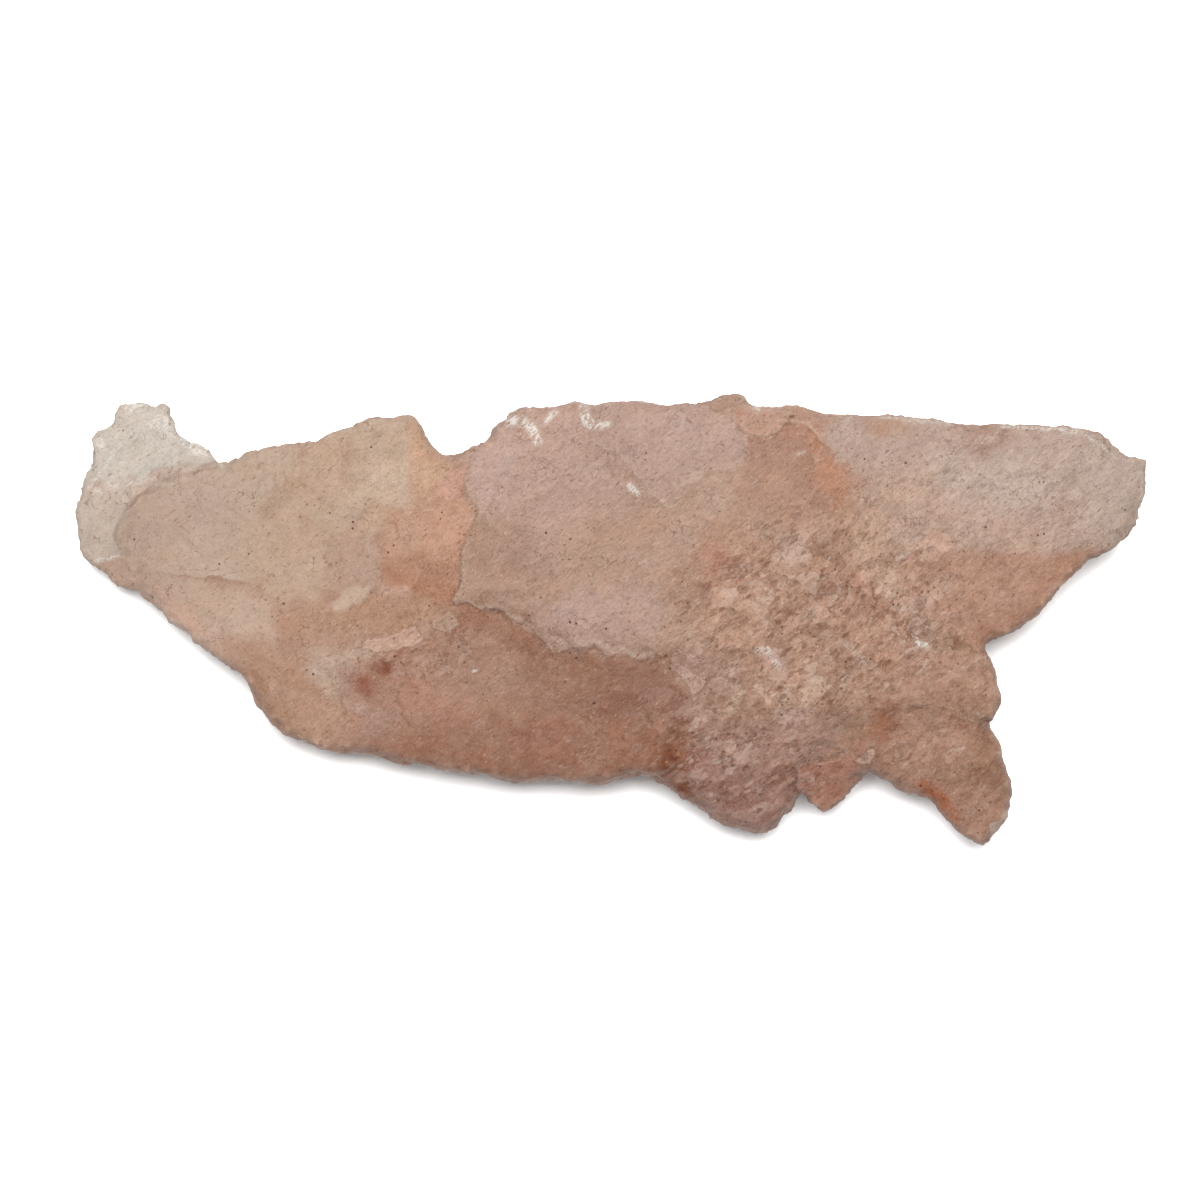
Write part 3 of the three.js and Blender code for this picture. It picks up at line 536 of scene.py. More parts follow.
# %% Zones of the left half
# Name, colour, softness in millimetres (0 for a crisp border), how much of a ledge its border is, and its outline:
# x,y of each corner, in millimetres from the middle of the stone.
LEFT_ZONES = [
    ("tip", CLEAR, 0.7, 0, [-33.9,14.2, -23.1,14.2, -22.8,9.3, -24.9,9, -26.6,9, -28.1,8.6, -32.5,8.1, -33.9,7.5]),
    ("tip_shade", TIP_SHADE, 0.35, 0, [-33.9,8.1, -32,8.1, -31,8.3, -29.7,8.5, -28.8,8.7, -27.7,9.2, -25.2,9.3,
      -25.2,7.5, -29.6,3.8, -33.9,2.8]),
    ("pale_band", BAND, 0, 0.35, [-24.3,9.9, -25.4,9.6, -26.4,9.7, -26.9,9.6, -27.7,9.4, -28.3,9.1, -28.8,8.7,
      -29.7,8.4, -29.7,7.2, -28.6,7.5, -27,8.1, -24.9,9, -23.9,9.6]),
    ("left_blade", BEIGE, 0, 0.4, [-22.8,11.2, -24.4,9.7, -25.4,9.3, -26.4,8.8, -27,8.6, -27.8,8.3, -28.6,8,
      -29.2,7.6, -29.7,7.2, -30.2,6.5, -30.5,5.7, -30.6,5.2, -30.4,4.7, -30.1,4.3, -28.9,3.5, -27.1,2.8, -22.2,2.5,
      -19.1,5, -19.1,11.2]),
    ("leaf_middle", LEAF, 1.2, 0, [-29.9,6.5, -28.3,7.6, -25.2,8.6, -23.1,8.1, -24.3,6.2, -27.1,4.7, -29.3,4.7]),
    ("left_front", ROSY_BEIGE, 0.5, 0, [-31.8,3.6, -30.8,3.9, -30.2,4.1, -29.6,3.9, -28.6,3.4, -27.3,3, -22.2,1.9,
      -20.3,0.1, -20.9,-3.6, -24.6,-2.4, -28.3,0.1, -31.1,1.9]),
    ("front_rim", PINK_RIM, 0.5, 0, [-30.8,2.7, -29.2,2.7, -27.7,1.8, -26.7,1.1, -24.9,-0.4, -23.1,-2.4, -23.7,-2.9,
      -28.3,0.1]),
    ("shelf_left", BUFF, 0.9, 0, [-21.4,6.8, -19.5,9.2, -19.7,11.6, -16,12.4, -16.3,7.2, -18.5,6.2, -21.4,4.7]),
    # painted shade: the facet beside the diagonal ledge, darker where the ledge shades it
    ("shelf_painted_shade", SHELF_PAINTED_SHADE, 0.5, 0, [-19.7,8.7, -20.4,8.1, -21.1,7.5, -21.8,6.6, -20.8,6.1, -19.7,7.2, -18.4,8.2,
      -19.1,8.8]),
    ("shelf_right", STRAW, 0.6, 0, [-16.3,12.1, -13.9,12.9, -12.2,12.9, -12.1,7, -13.5,6.8, -14.6,7.1, -15.1,6.5,
      -15.6,6.1, -16.6,5.2, -18.4,5.2, -18.5,6.5, -16.3,8.1]),
    ("straw_light", PALE_STRAW, 0.8, 0, [-14.3,9.8, -12.3,9.8, -12.2,7, -13.5,7, -14.7,7.3, -16,6.2, -17.2,5.7,
      -16.6,7.2, -15.1,8.1]),
    ("peach_edge", PEACH, 0.35, 0.25, [-12.5,13.4, -12.3,12.7, -12.3,9.9, -12.1,7, -11.2,7.7, -10.5,8.4, -9.7,8.9,
      -9.7,10.2, -11.7,12.7]),
    ("peach_notch", DEEP_PEACH, 0.5, 0, [-11.7,9.6, -10.7,9.8, -9.7,10.4, -6.8,12.1, -6.5,13.1, -10.5,11.2,
      -11.4,10.5]),
    ("peach_line", PALE_PEACH, 0.4, 0, [-11.2,7.8, -10.5,8.4, -9.4,9.3, -8.6,9.7, -8,10.7, -6.5,12.1, -7.4,11.2,
      -8.4,9.3, -9.1,7.5, -10.5,7.1, -11.4,7.3]),
    ("orange_block", ORANGE, 0.55, 0.25, [-13.7,6, -13.5,6.8, -12.3,6.7, -12.1,7, -11.2,7.6, -10.2,7.2, -9.1,7.5,
      -8.6,7.2, -8.4,5.4, -9,4.4, -9.2,3.3, -10.5,3.4, -11.7,4, -13.9,3.8, -14.2,4.7]),
    ("orange_lower", RUST, 1.2, 0, [-14.3,3.6, -12.9,3.4, -11.7,4, -10.5,3.6, -9,4.6, -9.2,2.3, -8.2,1.3, -9.8,0.6,
      -11.4,1.3, -12.4,1.3, -13.9,1.9]),
    ("middle_left", BUFF, 1, 0, [-21.4,5, -18.5,5.9, -16.4,5.4, -16.9,3.8, -17.9,1.3, -21.4,1, -22.5,3.1]),
    ("orange_shade", FACET_EDGE, 0.3, 0, [-14.6,7.1, -15.1,6.5, -15.6,6.1, -16.3,5.3, -15.9,4.5, -14.7,4.7, -13.9,5.6,
      -13.7,6.6]),
    ("grey_facet", OLIVE, 0.2, 0.3, [-16.3,5.3, -16.9,4.7, -17.5,4.2, -17.7,3.3, -17.5,2.8, -16.9,1.9, -16,1.5,
      -14.5,2.2, -14.1,3.8, -13.9,5, -14.8,5.2]),
    ("low_shelf", OLIVE_BROWN, 0.5, 0, [-19.2,-1.5, -16.7,-1.5, -14.8,-0.9, -13.4,-0.9, -12.1,-0.3, -10.5,0.1,
      -9.5,0.8, -11.7,1.3, -14.2,1.5, -16,0.9, -19.1,0.7, -20.9,-0.2]),
    ("low_left", ROSY, 1.2, 0, [-23.7,-1.2, -21.4,-1.2, -19.7,-2.1, -16.3,-2.4, -15.7,-4.9, -16.6,-8.9, -19.7,-7.9,
      -21.9,-4.9]),
    ("rosy_light", ROSY_BEIGE, 0.9, 0, [-18.2,-1.9, -14.8,-1.7, -14.2,-2.4, -16,-4.9, -17.5,-4.2, -18.5,-3]),
    ("low_middle", BROWN, 1, 0, [-16.3,-3.1, -14.2,-2.1, -11.4,-1.5, -8.6,1.3, -6.5,0.7, -4.3,-0.9, -5.5,-4.9,
      -8.6,-8.9, -16.6,-9.2, -15.7,-4.9]),
    ("low_centre", ROSY_GREY, 1, 0, [-11.1,-1.8, -6.8,-0.2, -5.5,-2.4, -5.5,-4.2, -8,-5.2, -10.5,-4.2]),
    ("low_right", DARK_BROWN, 1, 0, [-5.5,-1.2, -4,-0.7, -1.8,-1.8, 0.9,-1.9, 3.1,-2.6, 4.9,-5.2, 5.6,-7.6, 1.9,-9.8,
      -5.5,-4.9]),
    ("low_purple", PURPLE, 0.8, 0, [0,-2.7, 2.8,-2.4, 4.9,-4.2, 5.2,-6.1, 3.8,-7.4, 2.2,-7, 0.9,-4.9]),
    ("low_rim", RED_BROWN, 1.3, 0, [-11.1,-6.4, -5.5,-5.2, -0.6,-5.2, 3.1,-5.6, 4.9,-7.3, 3.1,-10.4, -8,-10.4,
      -14.2,-9.2]),
    ("low_warm", ORANGE_BROWN, 1, 0, [-7.4,-7, -3.1,-6.1, -0.6,-7, -1.2,-9.3, -5.5,-9.5, -8,-9.2]),
    ("low_red", DEEP_RED, 0.5, 0, [-1.2,-5, 0.9,-4.2, 2.2,-4.9, 0.6,-5.8, -1.1,-5.6]),
    ("grey_patch", GREY_ROSE, 1.2, 0, [-16.1,-4.6, -13.4,-4.6, -12.9,-7.1, -15.4,-7.6]),
    ("blotch_left", DARK_RED, 0.6, 0, [-15.6,-3.6, -15,-3.4, -14.6,-4.2, -14.9,-4.7]),
    ("blotch_right", DARK_RED, 0.5, 0, [-14.4,-2.9, -13.9,-2.3, -12.8,-1.8, -12.9,-2.1, -13.7,-3.1]),
    ("white_patch", WHITE_PATCH, 0.12, 0.3, [-15.3,2.3, -14.7,2.3, -14.5,2.2, -15,1.6, -15.5,1.1, -16.2,0.7,
      -16.9,0.7, -17.1,1.2, -16.4,1.5, -15.8,2]),
    ("pale_block", PALE_PATCH, 0.25, 0.3, [-14,2, -12.5,2, -12.4,1.5, -12.8,1.3, -13.9,1.6]),
    ("pale_ledge", PALE_PATCH, 0, 0.35, [-14.8,-1.1, -13.4,-1, -12.1,-0.3, -11.6,-0.7, -11.1,-1.2, -11.5,-1.2,
      -12.1,-1.5, -12.8,-1.6, -13.4,-1.8, -14.3,-2, -15,-1.8, -15.5,-1.6]),
    ("pale_square", PALE_SAND, 0, 0.3, [-10.9,0, -9.8,0.6, -9.4,-0.1, -9.8,-0.7, -10.8,-0.4]),
    ("middle_blade", DEEP_MAUVE, 0, 0.6, [-6.8,13.6, 1.9,13.9, 9.9,13.6, 9.9,7.5, 5.6,3.8, 5.6,-1.8, 3.1,-1.8,
      2.7,-2.1, 2.2,-2.2, 1.8,-2.4, 1.2,-2.2, 0.7,-1.9, 0.1,-2.1, -0.3,-2, -0.4,-1.6, -1.3,-1.7, -2.1,-1.6, -2.4,-1.8,
      -2.8,-1.8, -3.5,-1.8, -3.8,-1.5, -4.2,-0.9, -5.2,-0.4, -6.2,0.2, -6.5,0.6, -8,0.7, -8.7,1.1, -9.5,0.9, -9.7,1.3,
      -9,2.2, -9.2,3.3, -9,4.4, -8.4,5.4, -8,6.5, -8.4,7.4, -9,7.9, -8.7,9.4, -8,10.7, -6.8,12.4]),
    ("middle_upper", MAUVE, 1, 0, [-7.1,12.1, -4.3,13.3, -0.3,13.6, 0.9,9.9, 2,8, -0.6,6.2, -3.1,5, -7.4,6.5,
      -8.1,8.7]),
    ("lilac_left", LILAC, 0.7, 0, [-8.4,9.9, -6.8,11.8, -5.8,10.5, -6.8,7.5, -8,6.8, -8.7,8.1]),
    ("grey_mauve", GREY_MAUVE, 0.9, 0, [-8.4,5, -5.5,5.6, -4.3,3.8, -5.5,1.9, -8,2.2, -8.7,3.5]),
    ("rim_patch", PALE_MAUVE, 0.9, 0, [-4.6,1.3, -0.6,1.9, 2.8,1.9, 3.2,0.1, 2.8,-1.8, -2.5,-1.7, -4,-0.9]),
    ("under_tip", OLIVE_BROWN, 0.6, 0, [1.9,7.2, 3.6,6.7, 4.9,6.2, 3.7,5.3, 1.9,5.9]),
]
print(len(LEFT_ZONES), "zones on the left, from", LEFT_ZONES[0][0], "to", LEFT_ZONES[-1][0])

# %% Zones of the right half
RIGHT_ZONES = [
    ("shield", PALE_MAUVE, 0, 0.3, [-1.3,11, -0.1,10.5, 0.6,10.2, 0.9,9.7, 1.5,8.9, 2.2,8.2, 3,7.6, 3.7,6.8, 4.3,7.8,
      4.7,8.3, 5.2,8.4, 5.8,9.1, 6.5,9.2, 7.3,9.1, 8,9.3, 8.8,9.2, 9.5,9.5, 9.9,10.5, 9.1,11.3, 8,11.6, 7.5,12.4,
      5.6,13.3, 1.9,13.6, -0.3,13.4]),
    ("under_shield", OLIVE, 1, 0, [2,8, 3.6,6.8, 6.1,8.8, 9.6,9.3, 10.5,7.5, 5.6,5, 2.5,5.6]),
    ("crumbly_upper", SAND, 1.2, 0, [5.6,5, 9.9,7.5, 13.6,7.5, 14.9,3.2, 14.2,-1.7, 4.9,-1.8, 4.9,3.8]),
    ("red_speckle", ROSY, 1.2, 0, [5.6,5, 8.3,5.7, 9.7,3.8, 8.6,1.7, 6.5,1.9]),
    ("red_stain", RUST_STAIN, 0.8, 0, [5.6,4.1, 6.3,4.7, 7.7,3.8, 8,2.8, 6.5,2.5]),
    ("hump", HUMP_BROWN, 0, 0.35, [9.2,11.3, 9.7,11.4, 10.3,11.7, 10.7,12.1, 11.2,12.2, 12,12.1, 12.3,11.9, 12.9,11.4,
      13.5,10.6, 14.1,9.7, 14.9,9.4, 15.4,9.2, 14.9,7.2, 11.7,6.2, 9.2,7.5, 8.3,9.3, 8.4,11.3]),
    ("hump_right", RUST, 0.7, 0, [12.2,11.6, 12.9,11.2, 13.5,10.4, 14.1,9.6, 14.9,9.2, 14.9,7.5, 13.7,6.5, 12.8,8.7]),
    ("hump_fade", SAND, 1.2, 0, [8.3,9.3, 11.7,8.7, 12.4,6.2, 9.2,6.2, 7.7,7.5]),
    ("scallop", SCALLOP, 0, 0.5, [7.4,13.3, 15.4,13.6, 16,12.1, 13.9,11.2, 13.5,10.6, 12.9,11.4, 12.3,11.9, 12,12.1,
      11.2,12.2, 10.7,12.1, 10.3,11.7, 9.7,11.4, 9.2,11.3, 8.4,11.4, 8,11.7, 7.6,12.1]),
    ("arm", PALE_ARM, 0.35, 0.3, [14.2,13.3, 33.3,12.7, 33.6,6.2, 30.2,3.8, 26.2,4, 23.5,4.3, 22,4.3, 20.8,4.3,
      20.6,4.1, 19.8,4.6, 19.3,4.3, 18.7,4.4, 17.9,3.9, 17.4,4.7, 16,7.5, 15.5,8.9, 14.9,9.4, 14.1,9.7, 13.5,10.6,
      13.2,11.2, 13.7,12.1]),
    ("arm_middle", ARM_SHADE, 1.3, 0, [15.5,9.3, 21.6,9, 24,7.5, 27.7,5, 26.5,4, 20.6,4, 17.9,3.8, 16,6.8]),
    ("arm_tip", GREY_ARM, 1.2, 0, [27.7,11.8, 33.3,10.5, 33.3,6.2, 30.8,4.7, 28.7,6.8]),
    ("arm_light", ARM_LIGHT, 1.5, 0, [19.7,9.9, 26.5,10.5, 27.7,8.1, 24,6.5, 21,7.8]),
    ("arm_rose", ARM_ROSE, 0.8, 0, [21.3,12.4, 25,12.4, 24.8,11.2, 23.4,10.4, 22.1,10.5]),
    ("arm_spots", ROSY, 0.7, 0, [15.5,12.7, 18.2,12.5, 17.9,11.8, 16.5,11.4, 15.8,11.9]),
    ("arm_root", PALE_SAND, 1, 0, [14.8,7.5, 16,7.5, 18.2,4.7, 17.7,3.7, 18.2,1, 15.4,1.3, 14.2,4.7]),
    ("under_arm", RED_SAND, 0.6, 0, [17.9,3.8, 18.7,4.4, 19.3,4.3, 19.8,4.5, 20.6,4.1, 20.8,4.3, 22,4.3, 23.5,4.3,
      26.5,4, 30.2,4.3, 27.1,1, 23.7,-2.1, 22.2,-1.8, 20.3,-1.5, 18.8,0.7, 18.2,2.2]),
    ("under_arm_rim", UNDER_ROSE, 0.9, 0, [29.6,4.2, 27.7,3.6, 25.3,1.6, 23.1,-1.2, 24,-2.7, 27.7,0.7, 30.8,4]),
    ("ridges", ROSY_BROWN, 1.2, 0, [12.6,6.7, 14.9,3.2, 17.6,-1.2, 18.2,-4.2, 16,-4.2, 14.2,-1.2, 12.9,3.1]),
    ("ridge_red", RIDGE_RED, 0.5, 0, [14.8,2.8, 15.5,2.7, 16.9,1, 16.5,0.1, 15.8,0.6]),
    ("arm_wedge", PALE_PATCH, 0, 0.3, [17.7,3.8, 18.2,4.3, 19,4.9, 20,5.5, 21.1,5, 21.4,4.6, 20.7,4.2, 19.8,4.6,
      19.2,4.4, 18.5,4.3]),
    ("pale_by_chip", PALE_SAND, 0, 0.2, [17.5,0.7, 18.2,0.8, 18.7,1.2, 18.8,0.6, 18.2,0.2]),
    ("right_block", ROSY_BROWN, 0.5, 0, [15.5,-1.8, 17.9,-1.2, 23.1,-1.8, 24.3,-4.2, 23.4,-6.3, 21.8,-5.7, 21.1,-5.4,
      19.9,-4.9, 17.6,-5.1, 16.2,-4.9]),
    ("grey_chip", GREY, 0, 0.5, [18.4,0.2, 19,0.3, 19.5,-0.4, 20.2,-0.2, 20.3,-0.6, 19.8,-1.3, 19.3,-1.7, 18.7,-1.2,
      18.2,-0.6]),
    ("dark_facet", OLIVE_FACET, 0, 0.3, [19.9,-1.3, 20.6,-0.8, 21.5,-1.1, 22.4,-1.7, 21.1,-1.9, 20.3,-1.9]),
    ("crumbly_lower", SAND, 1, 0, [4.9,-1.8, 14.2,-1.7, 17.3,-4.2, 11.7,-6.1, 5.6,-5.8, 3.8,-2.9]),
    ("crumbly_left", GREY_SAND, 0.8, 0, [3.8,-2.1, 6.8,-1.8, 8,-4.2, 6.8,-5.8, 5.6,-5.8, 4.9,-4.2]),
    ("lobe_upper", GREY_ROSE, 0.8, 0, [5.6,-5.6, 11.7,-5.6, 14.2,-5.8, 14.1,-8.6, 11.7,-9.5, 7.4,-9.2, 4.9,-7.6]),
    ("lobe", GREY_BROWN, 0.7, 0, [3.1,-7.6, 5.6,-7.3, 7.4,-8.7, 11.7,-9.2, 11.9,-11, 11.7,-13.2, 9.2,-13.5, 5.6,-11.9,
      3.4,-10.4]),
    ("lobe_left", DARK_ROSE, 0.8, 0, [2.2,-7.2, 4.9,-7.4, 4.9,-11, 2.5,-10.4]),
    ("slab_left", PALE_SAND, 0, 0.25, [7.5,-3.9, 8,-4, 8.1,-4.6, 7.8,-5.4, 7.3,-4.5]),
    ("slab_middle", PALE_PATCH, 0, 0.25, [8.9,-4, 9.3,-3.9, 9.7,-4.5, 10,-4.9, 9.9,-5.4, 9.3,-4.7]),
    ("slab_right", SLAB, 0, 0.45, [10.5,-3.9, 12,-3.7, 12.3,-3.4, 13.1,-4, 13.3,-4.4, 12.4,-5, 10.7,-5.4, 10.4,-4.9,
      11.1,-4.6, 10.6,-4.4]),
    ("slab_low", ROSE_SLAB, 0, 0.25, [10.5,-5.5, 11.8,-5.5, 12,-6.2, 11.3,-6.4, 10.7,-6.6, 10.4,-6.2]),
    ("sliver", ROSE_SLAB, 0, 0.3, [3.5,-1.3, 4.1,-1.7, 4.7,-2, 5.6,-2.5, 5.2,-2.7, 4.6,-2.1, 3.8,-1.7]),
    ("slab_grains", ROSE_SLAB, 0.4, 0, [8.9,-1.8, 9.7,-1.5, 10.7,-2.3, 10.6,-3, 9.6,-2.6]),
    ("rose_slab_left", ROSE_SLAB, 0, 0.4, [3.7,-2.8, 4,-2.6, 4.7,-2.8, 5.2,-3.2, 6,-3.6, 5.8,-4.1, 5.1,-4.6, 4.7,-4,
      4.3,-3.3]),
    ("small_toe", TOE, 0, 0.4, [11.5,-8.8, 14.1,-8.5, 15.5,-7.2, 16,-7.3, 15.3,-9.2, 14.1,-11.8, 12.6,-11.9,
      11.9,-10.8, 11.6,-10.2]),
    ("foot", FOOT_BROWN, 0, 0.3, [16,-4.9, 17.6,-5.1, 19.9,-4.9, 21.1,-5.4, 21.8,-5.7, 23.5,-6.3, 25.3,-10.4,
      24.6,-14.1, 21.6,-14.1, 19.1,-11, 15.1,-9.3, 16.1,-7.6, 16.6,-7.3]),
    ("foot_upper", OLIVE_FOOT, 0.8, 0, [17.7,-5.2, 21,-5.6, 21.6,-7, 19.7,-7.6, 17.9,-7]),
    ("foot_right", DARK_FOOT, 0.9, 0, [22.1,-7.6, 23.9,-7.3, 24.8,-9.8, 24.3,-11, 22.8,-10.1, 21.9,-8.9]),
    ("orange_band", RUST_BROWN, 0.25, 0, [16.4,-5, 17.6,-5.1, 17.7,-6.5, 17.3,-7.4, 16.5,-7.6, 15.8,-7]),
    ("foot_streak", BURNT_ORANGE, 0.35, 0, [19,-9.9, 20.3,-10.3, 21.3,-11.4, 21.8,-12.5, 20.9,-12.4, 19.7,-11.2]),
    ("foot_end", FOOT_BROWN, 0.6, 0, [21.6,-11.9, 23.1,-12.4, 23.5,-13.5, 23.1,-14, 21.9,-13.4]),
    ("foot_patch", GREY_BEIGE, 0, 0.1, [23.2,-12.4, 24,-12.3, 24.6,-11.5, 24.8,-11.9, 23.8,-13.3, 23.4,-13]),
    ("pale_chip", PALE_PATCH, 0, 0.5, [15.4,-8.9, 15.3,-8.7, 15.9,-7.9, 16.4,-7.8, 16,-8.7]),
]
print(len(RIGHT_ZONES), "zones on the right, from", RIGHT_ZONES[0][0], "to", RIGHT_ZONES[-1][0])
